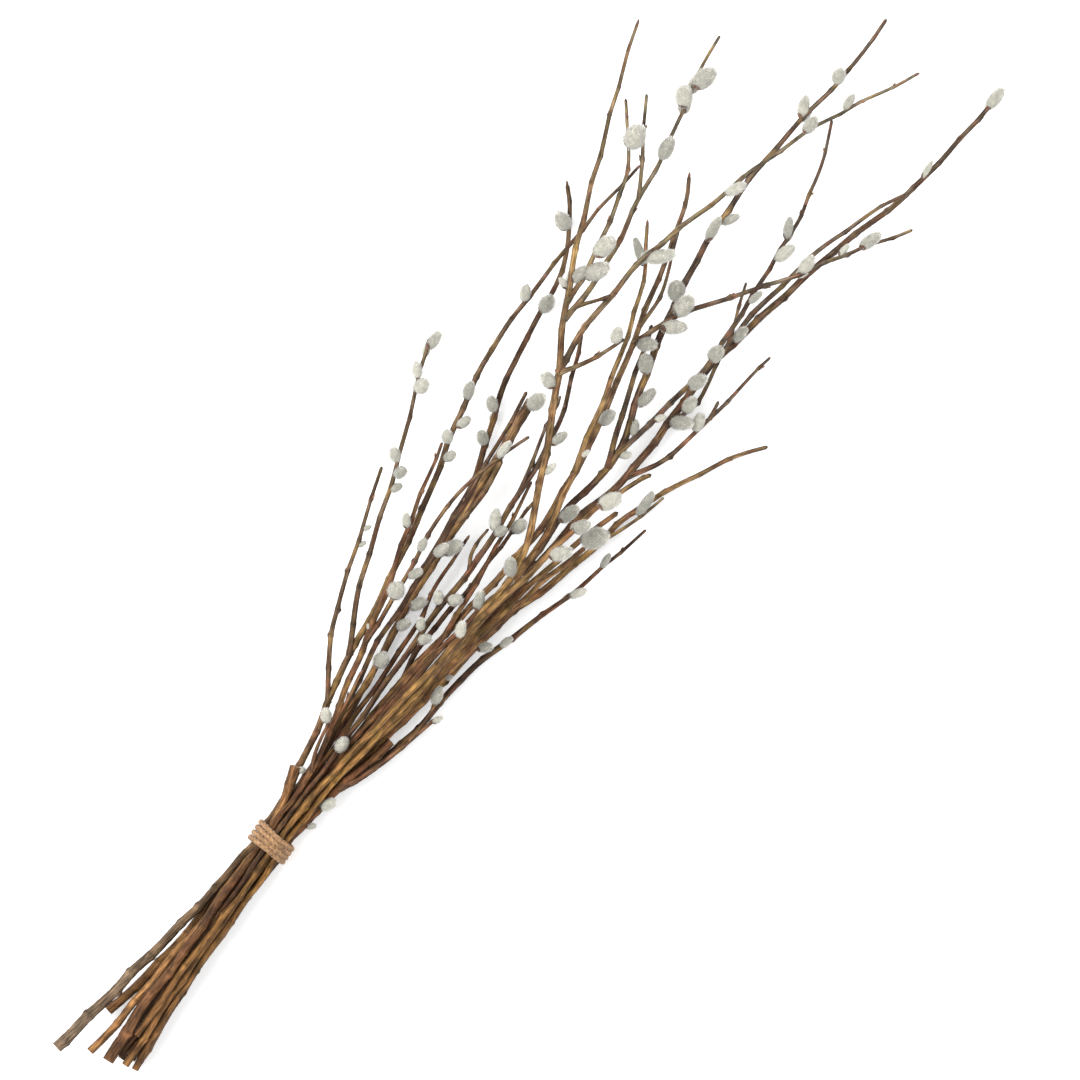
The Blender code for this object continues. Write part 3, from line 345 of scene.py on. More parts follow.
# Silver catkins on the upper sides as (x, y, length, thickness), placed as seen from above.
CATKINS = (
    (25, -16, 8, 5), (44, -17, 14, 8), (54, 13, 6, 5), (83, -1, 13, 9), (94, 20, 11, 8), (159, 30, 6, 4),
    (137, -46.7, 9, 5), (146, 9, 13, 11), (149.4, -34.4, 14, 8), (162, -36, 6, 4), (174, 10, 12, 8),
    (181, 2, 10, 7), (174, -7, 10, 8), (191, 10, 14, 9), (191, 29, 14, 12), (193, -44.4, 12, 8),
    (194, -22, 13, 8), (203, 3, 11, 8), (203, 65, 7, 4), (214, 69, 7, 4), (204, -53, 12, 6),
    (207, 24, 12, 7), (208, -9, 11, 9), (217, -21, 15, 8), (226, 32, 11.5, 6.5), (230, 20, 13.5, 7.5),
    (233, 50.6, 12.5, 6.5), (236, 13, 16.5, 10.5), (248, 68, 9.5, 6.5), (248, -26, 14.5, 9.5),
    (258, 72, 10.5, 8.5), (259, -74, 14.5, 6.5), (264, -7, 10.5, 7.5), (265.5, 83, 11.5, 8.5),
    (268, 1, 16.5, 8.5), (274, -15, 13.5, 9.5), (275, -48.7, 17.5, 10.5), (286, 51, 10.5, 7.5),
    (288, -76.5, 12.5, 5.5), (296, 61, 10.5, 8.5), (300, -37.4, 18.5, 9.5), (298, -50, 14.5, 9.5),
    (297, -62.5, 21, 15), (309, 41.3, 11.5, 8.5), (310, 23.5, 16.5, 6.5), (310, 56.5, 12.5, 7.5),
    (314.6, 93.5, 12.5, 10.5), (318, -10.9, 11.5, 5.5), (321, 103, 14.5, 7.5), (323, -55.7, 20, 11.5),
    (330, 66.5, 14.5, 8.5), (331.5, 49, 12.5, 8.5), (334.6, -76.5, 22, 7.5), (338, -3, 14.5, 7.5),
    (340, -23.5, 7.5, 4), (349, 104.5, 15.5, 8.5), (353, 23, 15.5, 11.5), (355, -48, 9.5, 6.5),
    (365, 29, 13.5, 10.5), (369, -22.6, 14.5, 9.5), (374, -40, 12.5, 6.5), (389, -51.7, 9.5, 5.5),
    (395, -36, 17.5, 8.5), (394, -64.3, 18.5, 10.5), (402, -74, 14.5, 9), (408, -62.5, 15.5, 9),
    (406, 73, 13.5, 8), (409, 57, 15.5, 10.5), (414, -22, 15.5, 10.5), (425, -17, 14.5, 10.5),
    (418, 5, 12.5, 9), (424, -58, 15.5, 10.5), (425.5, 55.5, 9, 5.5), (437, 49, 15.5, 9),
    (446, 39, 19, 12.5), (444.5, -24, 19, 10.5), (447, -57, 13.5, 10.5), (461, 81, 14.5, 11.5),
    (461, -21, 18, 12.5), (462, 46, 20, 12.5), (467, -63, 15.5, 8), (467, -11, 15.5, 12.5),
    (470, 29, 21.5, 7), (478, 11, 21.5, 10.5), (493, -57, 13.5, 5.5), (514.5, -8, 21.5, 8),
    (527, -14, 14.5, 7), (529, -56, 18, 9), (531.5, -73, 15.5, 9), (535, 72, 19, 15), (540, 50, 19, 10.5),
    (544, -48, 17, 7), (544, -4, 18, 8), (554, -88, 11, 4.5), (569, -99, 19, 9), (576, 61, 17, 12.5),
    (594, 56, 20, 13.5), (609, -20.5, 15, 9), (618, -10, 17, 8.5), (631.5, -103, 15.5, 4.5),
    (636.5, -33, 14, 6.5), (649, -17.5, 13, 9.5), (703, -113.5, 19, 9),
)
# Catkins on the undersides, as a share of those on the upper sides, beyond a distance from the tie, and
# their size beside those above them.
HIDDEN_SHARE = 0.16
HIDDEN_FROM = 120.0
HIDDEN_SIZE = 0.7
# Small closed buds as (x, y).
BUDS = (
    (319, -30), (353.7, 68), (416, 67), (433, -84), (540, 79), (486, 76), (127, 16.5), (561, -50), (370, 10),
    (324, -72), (501, -70), (676, -58), (596, 114), (517, 59), (482, 91), (245, 12), (490, 31), (533, 25.5),
)


class Stem:
    """One leader or twig: points along its middle, in millimetres, and its radius at each point."""

    def __init__(self, branch, root, points, radii):
        self.branch = branch
        self.root = root
        self.points = points
        self.radii = radii
        self.spacing = float(np.linalg.norm(np.diff(points, axis=0), axis=1).mean())


def distances(line):
    """Distance of each point of a line from its start, along the line."""
    return np.concatenate(([0.0], np.cumsum(np.linalg.norm(np.diff(line, axis=0), axis=1))))


def along(route, step):
    """Points evenly spaced along a route of (x, y) pairs, with the corners eased."""
    route = np.array(route, dtype=float)
    length = distances(route)
    count = max(4, round(length[-1] / step) + 1)
    at = np.linspace(0.0, length[-1], count)
    points = np.column_stack([np.interp(at, length, route[:, k]) for k in (0, 1)])
    points[1:-1] = 0.5 * points[1:-1] + 0.25 * (points[:-2] + points[2:])
    return points


def nearest(stem, x, y):
    """Number of the stem's point that is nearest to (x, y) seen from above, and the distance to it."""
    away = np.hypot(stem.points[:, 0] - x, stem.points[:, 1] - y)
    best = int(np.argmin(away))
    return best, float(away[best])


def spot_at(stem, number):
    """The place on a stem's middle line at a point number that may lie between two points."""
    number = min(max(number, 0.0), len(stem.points) - 1.0)
    low = min(int(number), len(stem.points) - 2)
    share = number - low
    return stem.points[low] * (1.0 - share) + stem.points[low + 1] * share


def spot_near(stem, place):
    """Point number, between points too, where a stem is nearest to a place seen from above, and how near."""
    start = stem.points[:-1, :2]
    step = stem.points[1:, :2] - start
    share = np.clip(((place - start) * step).sum(axis=1) / (step * step).sum(axis=1), 0, 1)
    away = np.linalg.norm(start + share[:, None] * step - place, axis=1)
    best = int(np.argmin(away))
    return best + float(share[best]), float(away[best])


def grow_stems():
    """Leaders from the cut ends through the tie to the tips, then the twigs on them."""
    stems = {}
    for name, (bark, ring, angle, thickness, heights, route) in LEADERS.items():
        plan = along(route, STEP)
        turn = math.radians(angle)
        tie_height = TIE_HEIGHT + ring * math.sin(turn)
        marks = sorted(heights + ((0.0, tie_height),))
        z = np.interp(plan[:, 0], [m[0] for m in marks], [m[1] for m in marks])
        reach = plan[-1, 0]
        radii = np.interp(plan[:, 0], (plan[0, 0], 0.0, MIDWAY * reach, reach), thickness) / 2
        stems[name] = Stem(name, None, np.column_stack([plan, z]), radii)
    for name, (branch, parent, thickness, tip, route) in TWIGS.items():
        below = stems[parent or branch]
        at, _ = nearest(below, *route[0])
        root = below.points[at]
        plan = along(((root[0], root[1]),) + route[1:], STEP)
        z = np.linspace(root[2], tip, len(plan))
        thick = min(thickness[0], TWIG_SHARE * 2 * below.radii[at])
        radii = np.linspace(thick, thickness[1], len(plan)) / 2
        stems[name] = Stem(branch, (parent or branch, at), np.column_stack([plan, z]), radii)
    return stems


def grow_catkins(stems):
    """Each catkin as (stem, point, start, end, radius): start and end are measured from the stem's point."""
    rng = np.random.default_rng(SEED)
    grown = []
    for x, y, length, thickness in CATKINS:
        choice = None
        for name, stem in stems.items():
            at, away = spot_near(stem, (x, y))
            spot = spot_at(stem, at)
            reach = stem.radii[int(at)] + thickness / 2 + 0.5
            rank = (away > reach, away if away > reach else -spot[2])
            if choice is None or rank < choice[0]:
                choice = (rank, name, at)
        owner = choice[1]
        grown.append(seat_catkin(stems, owner, (x, y), length, thickness, 1.0))
        if rng.random() < HIDDEN_SHARE and x > HIDDEN_FROM:
            below = spot_at(stems[owner], max(choice[2] - rng.uniform(0.2, 0.8), 1.0))[:2]
            size = (length * HIDDEN_SIZE, thickness * HIDDEN_SIZE)
            grown.append(seat_catkin(stems, owner, below, *size, -1.0))
    return grown


def seat_catkin(stems, name, place, length, thickness, side):
    """A catkin's middle line from its seat in the stem, leaning to the tip, with its middle above place."""
    stem = stems[name]
    middle_at, _ = spot_near(stem, place)
    seat_at = max(middle_at - CATKIN_BACK * length / stem.spacing, 0.0)
    beside = spot_at(stem, middle_at)
    seat = spot_at(stem, seat_at)
    at = int(round(seat_at))
    radius = thickness / 2
    aside = np.array([place[0] - beside[0], place[1] - beside[1], 0.0])
    out = CATKIN_STAND_OFF * radius + stem.radii[at]
    span = float(np.linalg.norm(aside))
    if middle_at < len(stem.points) - 1.01 and span > out + CATKIN_BESIDE:
        aside *= (out + CATKIN_BESIDE) / span
        span = out + CATKIN_BESIDE
    aside[2] = side * math.sqrt(max(out * out - span * span, 0.0))
    seat = seat + aside * min(0.3, 0.6 * stem.radii[at] / max(float(np.linalg.norm(aside)), 0.1))
    axis = beside + aside - seat
    axis /= np.linalg.norm(axis)
    start = seat + axis * CATKIN_END * radius
    end = seat + axis * (length - CATKIN_END * radius)
    return name, at, start - stem.points[at], end - stem.points[at], radius


def looseness(x):
    """One near the tie, where the stems are packed, growing with the distance from it."""
    return 1.0 + (LOOSER - 1.0) * np.clip((np.abs(x) - LOOSE_FROM) / (LOOSE_TO - LOOSE_FROM), 0, 1)


def closest(p, q, u, v):
    """Where the straight lines p to q and u to v come nearest: shares along both, and the step between."""
    pq = q - p
    uv = v - u
    pu = p - u
    a = np.maximum(np.einsum("ij,ij->i", pq, pq), 1e-6)
    e = np.maximum(np.einsum("ij,ij->i", uv, uv), 1e-6)
    b = np.einsum("ij,ij->i", pq, uv)
    c = np.einsum("ij,ij->i", pq, pu)
    f = np.einsum("ij,ij->i", uv, pu)
    area = a * e - b * b
    s = np.where(area > 1e-6 * a * e, np.clip((b * f - c * e) / np.maximum(area, 1e-9), 0, 1), 0.5)
    t = np.clip((b * s + f) / e, 0, 1)
    s = np.clip((b * t - c) / a, 0, 1)
    return s, t, pu + s[:, None] * pq - t[:, None] * uv


def spread_apart(stems, catkins):
    """Moves the stems sideways and up until all branches are clear of each other, the tie and the surface."""
    names = list(stems)
    first = {}
    total = 0
    for name in names:
        first[name] = total
        total += len(stems[name].points)
    rest = np.vstack([stems[name].points for name in names])
    radii = np.concatenate([stems[name].radii for name in names])
    branch = {name: k for k, name in enumerate(sorted({stems[name].branch for name in names}))}

    def number(name, at):
        """A point's number among all points. A twig's first point is the stem's point that it grows from."""
        if at == 0 and stems[name].root:
            return number(*stems[name].root)
        return first[name] + at

    rows = []
    for name in names:
        for k in range(len(stems[name].points) - 1):
            thickest = max(stems[name].radii[k], stems[name].radii[k + 1])
            ends = (number(name, k), number(name, k + 1))
            rows.append((*ends, (0, 0, 0), (0, 0, 0), thickest, branch[stems[name].branch]))
    for name, at, start, end, radius in catkins:
        i = number(name, at)
        rows.append((i, i, tuple(start), tuple(end), radius, branch[stems[name].branch]))
    i0 = np.array([r[0] for r in rows])
    i1 = np.array([r[1] for r in rows])
    o0 = np.array([r[2] for r in rows], dtype=float)
    o1 = np.array([r[3] for r in rows], dtype=float)
    thick = np.array([r[4] for r in rows])
    owner = np.array([r[5] for r in rows])
    weight = np.array([0.0, SIDEWAYS, 1.0])
    place = rest.copy()
    lower, upper = np.triu_indices(len(rows), 1)
    apart = owner[lower] != owner[upper]
    lower, upper = lower[apart], upper[apart]
    for turn in range(SPREAD_TURNS):
        p, q = place[i0] + o0, place[i1] + o1
        if turn % NEAR_TURNS == 0:
            middle = (p + q) / 2
            half = np.linalg.norm(q - p, axis=1) / 2 + thick + NEAR_MARGIN
            near = np.linalg.norm(middle[lower] - middle[upper], axis=1) < half[lower] + half[upper]
            one, two = lower[near], upper[near]
        s, t, step = closest(p[one], q[one], p[two], q[two])
        gap = np.linalg.norm(step, axis=1)
        room = CLEARANCE * looseness(p[one, 0]) ** 0.6
        lack = thick[one] + thick[two] + room - gap
        hit = lack > 0
        direction = step[hit] / np.maximum(gap[hit], 1e-3)[:, None]
        direction[gap[hit] < 1e-3] = (0.0, 0.0, 1.0)
        push = direction * (0.5 * lack[hit])[:, None] * weight
        move = np.zeros_like(place)
        count = np.zeros(total)
        for sign, index, share in ((1.0, one[hit], s[hit]), (-1.0, two[hit], t[hit])):
            for ends, part in ((i0[index], 1.0 - share), (i1[index], share)):
                np.add.at(move, ends, sign * push * part[:, None] * PUSH)
                np.add.at(count, ends, part)
        place += move / np.maximum(count, 1.0)[:, None]
        ease = EASE_FIRST if turn < SPREAD_TURNS * LATER_FROM else EASE_LATER
        if turn > SPREAD_TURNS * UNEASED_FROM:
            ease = 0.0
        shift = place - rest
        for name in names:
            a, b = first[name], first[name] + len(stems[name].points)
            if stems[name].root:
                shift[a] = shift[number(name, 0)]
            part = shift[a:b].copy()
            shift[a + 1:b - 1] += ease * ((part[:-2] + part[2:]) / 2 - part[1:-1])
            if ease and not stems[name].root:
                shift[a] += ease * (part[1] - part[0]) * 0.5
            shift[b - 1] += ease * (part[-2] - part[-1]) * 0.5
        place = rest + shift
        for index, offset in ((i0, o0), (i1, o1)):
            under = thick - (place[index] + offset)[:, 2]
            np.maximum.at(place[:, 2], index[under > 0], (place[index, 2] + under)[under > 0])
        inside = np.abs(place[:, 0]) < TIE_HALF_WIDTH
        across = place[inside, 1:] - (0.0, TIE_HEIGHT)
        reach = np.linalg.norm(across, axis=1)
        limit = TIE_INNER_RADIUS - radii[inside]
        across *= np.minimum(1.0, limit / np.maximum(reach, 1e-6))[:, None]
        place[inside, 1:] = across + (0.0, TIE_HEIGHT)
    for name in names:
        a = first[name]
        stems[name].points = place[a:a + len(stems[name].points)]
        stems[name].points[0] = place[number(name, 0)]


def unit(vectors):
    """One vector, or rows of them, made one long."""
    return vectors / np.maximum(np.linalg.norm(vectors, axis=-1, keepdims=True), 1e-6)


def hump(distance, width):
    """One where the distance is nothing, falling off smoothly over the width."""
    return np.exp(-((distance / width) ** 2))


def angles_round(sides):
    """Angles evenly spaced once round."""
    return np.arange(sides) * FULL_TURN / sides


def turned(angles, side, over):
    """Directions at the angles from side towards over."""
    return np.cos(angles)[:, None] * side + np.sin(angles)[:, None] * over


def eased(points, values, parts):
    """A smooth line through the points, with each span cut into parts, and the values along it."""
    before = np.vstack([2 * points[0] - points[1], points[:-1]])
    after = np.vstack([points[1:], 2 * points[-1] - points[-2]])
    slope = (after - before) / 2
    at = np.arange((len(points) - 1) * parts + 1) / parts
    k = np.minimum(at.astype(int), len(points) - 2)
    t = (at - k)[:, None]
    line = (2 * t**3 - 3 * t**2 + 1) * points[k] + (t**3 - 2 * t**2 + t) * slope[k]
    line += (3 * t**2 - 2 * t**3) * points[k + 1] + (t**3 - t**2) * slope[k + 1]
    return line, np.interp(at, np.arange(len(values)), values)


def frames(line):
    """Directions along a line and two directions across it that turn as little as possible."""
    ahead = unit(np.gradient(line, axis=0))
    side = np.zeros_like(line)
    start = np.cross(ahead[0], UP)
    if np.linalg.norm(start) < 0.1:
        start = np.cross(ahead[0], (0.0, 1.0, 0.0))
    side[0] = unit(start)
    for k in range(1, len(line)):
        side[k] = unit(side[k - 1] - ahead[k] * (side[k - 1] @ ahead[k]))
    return ahead, side, np.cross(ahead, side)


class Shell:
    """Gathers vertices, faces, colours and grain coordinates of one mesh."""

    def __init__(self):
        self.verts = []
        self.faces = []
        self.colours = []
        self.grain = []
        self.slots = []
        self.total = 0

    def add(self, verts, faces, colours, grain=None, slot=0):
        """Adds a surface, with a colour for each vertex or one for all, and its grain coordinates if any."""
        verts = np.asarray(verts, dtype=float).reshape(-1, 3)
        self.verts.append(verts)
        self.colours.append(np.broadcast_to(np.reshape(colours, (-1, 3)), (len(verts), 3)))
        self.grain.append(verts if grain is None else grain.reshape(-1, 3))
        self.faces += [tuple(int(i) + self.total for i in face) for face in faces]
        self.slots += [slot] * len(faces)
        self.total += len(verts)

    def build(self, name, materials):
        """Makes the mesh object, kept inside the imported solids' box."""
        verts = np.clip(np.vstack(self.verts) * MM, *cad_box)
        mesh = bpy.data.meshes.new(name)
        mesh.from_pydata(verts.tolist(), [], self.faces)
        tone = mesh.color_attributes.new("tone", "FLOAT_COLOR", "POINT")
        colours = np.column_stack([np.vstack(self.colours), np.ones(len(verts))]).astype(np.float32)
        tone.data.foreach_set("color", colours.ravel())
        grain = mesh.attributes.new("grain", "FLOAT_VECTOR", "POINT")
        grain.data.foreach_set("vector", np.vstack(self.grain).astype(np.float32).ravel())
        for material in materials:
            mesh.materials.append(material)
        mesh.polygons.foreach_set("material_index", self.slots)
        mesh.polygons.foreach_set("use_smooth", [True] * len(mesh.polygons))
        mesh.update()
        piece = bpy.data.objects.new(name, mesh)
        bpy.context.scene.collection.objects.link(piece)
        return piece


def grid_faces(rows, columns, closed=True):
    """Quads between neighbouring rows of vertices, which are rings where closed."""
    faces = []
    for k in range(rows - 1):
        a = k * columns
        for j in range(columns if closed else columns - 1):
            n = (j + 1) % columns
            faces.append((a + j, a + n, a + columns + n, a + columns + j))
    return faces


def fan_faces(sides, first, top):
    """Triangles from a ring of vertices, which starts at first, to one vertex."""
    return [(first + j, first + (j + 1) % sides, top) for j in range(sides)]


def wrapped(distance, angles, radius):
    """Grain coordinates: the distance along a stem or ply, and the place round it."""
    parts = np.broadcast_arrays(distance[:, None], np.cos(angles) * radius, np.sin(angles) * radius)
    return np.stack(parts, axis=-1)


def place_joints(length, rng):
    """Distances of a stem's joints from its start, and the angle of the bud at each."""
    joints = np.cumsum(rng.uniform(*JOINT_GAP, MOST_JOINTS)) + rng.uniform(*JOINT_START)
    joints = joints[joints < length - BARE_TIP]
    return joints, rng.uniform(0, FULL_TURN) + BUD_TURN * np.arange(1, len(joints) + 1)


def bark_relief(stem, distance, angles, joints, turns, rng):
    """The bark's radius round each ring beside the stem's own, and how light its joints make it."""
    bumps = np.ones((len(distance), len(angles)))
    light = np.ones_like(bumps)
    knot = STOUT_KNOT if stem.radii.max() > STOUT_FROM else SLIM_KNOT
    for joint, turn in zip(joints, turns):
        off = (distance - joint)[:, None]
        facing = hump(np.angle(np.exp(1j * (angles - turn))), BUD_ARC)
        bumps += knot * hump(off, KNOT_LENGTH) + BUD_SWELLING * knot * hump(off, BUD_LENGTH) * facing
        scar = SCAR_ALL_ROUND + (1 - SCAR_ALL_ROUND) * facing
        light -= SCAR_DEPTH * hump(off - SCAR_LENGTH, SCAR_LENGTH) * scar
        light += PALE_RING * hump(off + PALE_RING_BEFORE, PALE_RING_LENGTH)
    ridges = np.sin(angles * 3 + rng.uniform(0, 6) + distance[:, None] * 0.03)
    waves = np.sin(distance[:, None] * 0.13 + rng.uniform(0, 6) + angles)
    bumps += RIDGE * (ridges + waves) + rng.normal(0, ROUGHNESS, bumps.shape)
    if stem.root:
        bumps += ROOT_SWELLING * hump(distance, ROOT_LENGTH)[:, None]
    return bumps, light


def bark_colour(stem, x, distance, angles, upward, tones, light, rng):
    """Colour of each vertex, from its place in the bunch, patches, streaks and joints, with painted shade by
    the side it faces and at the tie.
    """
    place = x + (TWIG_AHEAD if stem.root else 0.0)
    blend = np.column_stack([np.interp(place, TONE_PLACES, channel) for channel in zip(*tones)])
    marks = np.arange(0, distance[-1] + 40, PATCH)
    patch = np.interp(distance, marks, rng.uniform(*PATCH_LIGHT, len(marks)))
    hue = np.interp(distance, marks, rng.uniform(*PATCH_HUE, len(marks)))[:, None]
    strength = np.interp(x, HUE_PLACES, HUE_STRENGTH)[:, None]
    blend += (np.where(hue > 0, RED_BARK, OLIVE_BARK) - blend) * np.abs(hue) * strength
    shade = np.clip(light, *JOINT_LIGHT)
    shade *= 1 + sum(depth * np.sin(angles * count + rng.uniform(0, 6)) for count, depth in STREAKS)
    # Painted shade: lighter where the bark faces up, darker on its sides and underside.
    shade *= PAINTED_SIDE_LIGHT + PAINTED_TOP_LIGHT * np.clip(upward, UNDERSIDE, 1.0)
    # Painted shade where the stems pack at the tie, on top of the random light patches.
    shade *= patch[:, None] * (1 - TIE_SHADE * hump(x - TIE_SHADE_AT, TIE_SHADE_REACH))[:, None]
    return blend[:, None, :] * shade[:, :, None]


def bark_stem(shell, stem, tones, rng):
    """One stem with swollen joints, slight bends, bud scars, wrinkles and sawn or grown ends."""
    line, radii = eased(stem.points, stem.radii, SPAN_PARTS)
    distance = distances(line)
    ahead, side, over = frames(line)
    sides = THICK_SIDES if radii.max() > THICK_FROM else THIN_SIDES
    angles = angles_round(sides)
    joints, turns = place_joints(distance[-1], rng)
    bumps, light = bark_relief(stem, distance, angles, joints, turns, rng)
    zigzag = BEND * (-1.0) ** np.arange(len(joints))
    line = line + side * np.interp(distance, [0.0, *joints, distance[-1]], [0.0, *zigzag, 0.0])[:, None]
    around = turned(angles, side[:, None, :], over[:, None, :])
    verts = line[:, None, :] + around * (radii[:, None] * bumps)[:, :, None]
    colour = bark_colour(stem, line[:, 0], distance, angles, around[:, :, 2], tones, light, rng)
    grain = wrapped(distance + rng.uniform(0, 500), angles, radii[:, None])
    shell.add(verts, grid_faces(len(line), sides), colour, grain)
    if not stem.root:
        sawn_end(shell, verts[0], line[0], -ahead[0], colour[0].mean(axis=0), rng)
    if radii[-1] > SAWN_FROM:
        sawn_end(shell, verts[-1], line[-1], ahead[-1], colour[-1].mean(axis=0), rng)
    else:
        nose = line[-1] + ahead[-1] * radii[-1] * 1.2
        shell.add(np.vstack([verts[-1], nose]), fan_faces(sides, 0, sides), colour[-1].mean(axis=0) * 0.8)
    return joints, turns


def sawn_end(shell, rim, middle, outward, bark_tone, rng):
    """The sawn end of a stem: a dark rim of bark, pale wood and a small dark pith."""
    sides = len(rim)
    inner = middle + (rim - middle) * WOOD_SHARE + outward * 0.15
    pith = middle + (rim - middle) * PITH_SHARE + outward * 0.05
    faces = grid_faces(3, sides) + fan_faces(sides, 2 * sides, 3 * sides)
    if outward[0] < 0:
        faces = [face[::-1] for face in faces]
    wood = WOOD_TONE * rng.uniform(0.7, 1.1)
    tint = np.repeat([bark_tone * 0.8, wood, wood * 0.75, wood * 0.35], (sides, sides, sides, 1), axis=0)
    shell.add(np.vstack([rim, inner, pith, middle + outward * 0.02]), faces, tint, slot=1)


def egg_radius(u, radius):
    """Radius of the egg shape at a share u of its length, thicker towards the seat."""
    z = 2 * u - 1
    return radius * np.sqrt(np.maximum(1 - z * z, 0)) * (1 - EGG_TAPER * z)


def catkin_body(shell, base, axis, side, over, length, radius, tint):
    """The catkin's body under its hairs, with its small scales in spiral rows."""
    rows, sides = 16, 18
    u = (1 - np.cos(np.linspace(0.02, math.pi - 0.02, rows))) / 2
    angles = angles_round(sides)
    spiral = np.sin(angles * 5 + u[:, None] * 26) * np.sin(angles * 5 - u[:, None] * 26)
    ring = egg_radius(u, radius)[:, None] * (1 + 0.02 * spiral)
    verts = (base + axis * (u * length)[:, None])[:, None, :] + ring[:, :, None] * turned(angles, side, over)
    last = rows * sides
    faces = grid_faces(rows, sides) + [face[::-1] for face in fan_faces(sides, 0, last)]
    faces += fan_faces(sides, last - sides, last + 1)
    colour = tint * (0.96 + 0.05 * spiral[:, :, None])
    shell.add(np.vstack([verts.reshape(-1, 3), base, base + axis * length]), faces,
              np.vstack([colour.reshape(-1, 3), tint, tint]), slot=1)


def catkin_hairs(shell, base, axis, side, over, length, radius, tint, rng):
    """Silky hairs that lean towards the tip, each a narrow blade with its flat side outwards."""
    count = int(HAIRS * (length * radius / HAIRS_FOR) ** 0.8)
    i = np.arange(count)
    u = 0.02 + 0.96 * ((i + 0.5) / count)
    out = turned(i * SPIRAL_TURN + rng.normal(0, 0.12, count), side, over)
    foot = base + axis * (length * (1 - CORE) / 2)
    root = foot + axis * (u * length * CORE)[:, None] + out * (egg_radius(u, radius) * CORE * 0.97)[:, None]
    z = 2 * u - 1
    normal = out * np.sqrt(np.maximum(1 - z * z, 0.02))[:, None] + axis * z[:, None]
    lift = rng.uniform(0.5, 1.05, count)
    lean = 0.8 - 0.5 * np.abs(z)
    way = unit(normal * lift[:, None] + axis * lean[:, None] + rng.normal(0, 0.14, (count, 3)))
    reach = radius * rng.uniform(*HAIR_LENGTH, count)[:, None]
    middle = root + way * reach * 0.55
    curl = rng.uniform(-0.15, 0.1, count)
    tip = root + (way + axis * 0.1 + normal * curl[:, None]) * reach
    across = unit(np.cross(way, normal + rng.normal(0, 0.25, (count, 3))))
    across *= rng.uniform(*HAIR_WIDTH, count)[:, None]
    waist = across * 0.8
    verts = np.stack([root - across, root + across, middle - waist, middle + waist, tip], axis=1)
    lightness = rng.uniform(0.9, 1.1, count) * (0.70 + 0.40 * u)
    # Painted shade and light on each hair: dark at its root deep in the fur, lighter than its tone at its tip.
    shade = PAINTED_HAIR_SHADE[:, None] * lightness[:, None, None]
    at = (i * len(PAINTED_HAIR_SHADE))[:, None]
    faces = np.hstack([at, at + 1, at + 3, at + 2]).tolist() + np.hstack([at + 2, at + 3, at + 4]).tolist()
    shell.add(verts, faces, np.minimum(shade * tint, 0.98))


def catkin_scale(shell, base, axis, out, length, radius, reach, tint):
    """A glossy scale that hugs one side of a catkin at its foot, pointed at its top."""
    rows, columns = 8, 9
    t = np.linspace(0, 1, rows)[:, None]
    u = 0.02 + reach * t
    half_arc = (1 - t**2.2) ** 0.7 + 0.02
    angles = half_arc * np.linspace(-1, 1, columns)
    over = np.cross(axis, out)
    ring = egg_radius(u, radius) * 1.04 + 0.12 + 0.1 * t
    outward = np.cos(angles)[:, :, None] * out + np.sin(angles)[:, :, None] * over
    verts = base + axis * (u * length)[:, :, None] + outward * ring[:, :, None]
    shell.add(verts, grid_faces(rows, columns, closed=False), tint)


def closed_bud(shell, spot, ahead, out, length, thickness, tint):
    """A closed bud pressed against its stem."""
    rows, sides = 7, 8
    u = np.linspace(0.0, 1.0, rows)
    pointed = 1.25 - 0.7 * u
    ring = thickness / 2 * np.sqrt(np.maximum(1 - (2 * u - 1) ** 2, 0.0)) * pointed
    axis = ahead * 0.96 + out * 0.26
    around = turned(angles_round(sides), unit(np.cross(ahead, out)), out)
    verts = (spot + axis * (u * length)[:, None])[:, None, :] + ring[:, None, None] * around
    shell.add(verts, grid_faces(rows, sides), tint)


def node(tree, kind, inputs=(), **settings):
    """A shader node: each input is a value or the output of another node."""
    made = tree.nodes.new(kind)
    for key, value in settings.items():
        setattr(made, key, value)
    for key, value in dict(inputs).items():
        if isinstance(value, bpy.types.NodeSocket):
            tree.links.new(value, made.inputs[key])
        else:
            made.inputs[key].default_value = value
    return made


def plain_material(name, colour, roughness, specular):
    """A material of one colour, with its nodes and its shader."""
    made = bpy.data.materials.new(name)
    made.use_nodes = True
    shader = made.node_tree.nodes["Principled BSDF"]
    shader.inputs["Base Color"].default_value = (*colour, 1.0)
    shader.inputs["Roughness"].default_value = roughness
    shader.inputs["Specular IOR Level"].default_value = specular
    return made, made.node_tree, shader


def toned(tree, shader, low, high, size, detail, stretch=(1.0, 1.0, 1.0)):
    """Colours a shader by the mesh's tones times noise from low to high. Gives the grain and the noise."""
    grain = node(tree, "ShaderNodeAttribute", attribute_name="grain").outputs["Vector"]
    tone = node(tree, "ShaderNodeAttribute", attribute_name="tone").outputs["Color"]
    place = node(tree, "ShaderNodeMapping", {"Vector": grain, "Scale": stretch}).outputs[0]
    noise = node(tree, "ShaderNodeTexNoise", {"Vector": place, "Scale": size, "Detail": detail}).outputs[0]
    level = node(tree, "ShaderNodeMapRange", {"Value": noise, "From Min": 0.3, "From Max": 0.7,
                                              "To Min": low, "To Max": high}).outputs[0]
    mixed = node(tree, "ShaderNodeMix", {"Factor": 1.0}, data_type="RGBA", blend_type="MULTIPLY")
    tree.links.new(tone, mixed.inputs[6])
    tree.links.new(level, mixed.inputs[7])
    tree.links.new(mixed.outputs[2], shader.inputs["Base Color"])
    return grain, noise


def raised(tree, shader, height, strength, distance=0.0004):
    """Raises a shader's surface by the height."""
    bump = node(tree, "ShaderNodeBump", {"Height": height, "Strength": strength, "Distance": distance})
    tree.links.new(bump.outputs[0], shader.inputs["Normal"])


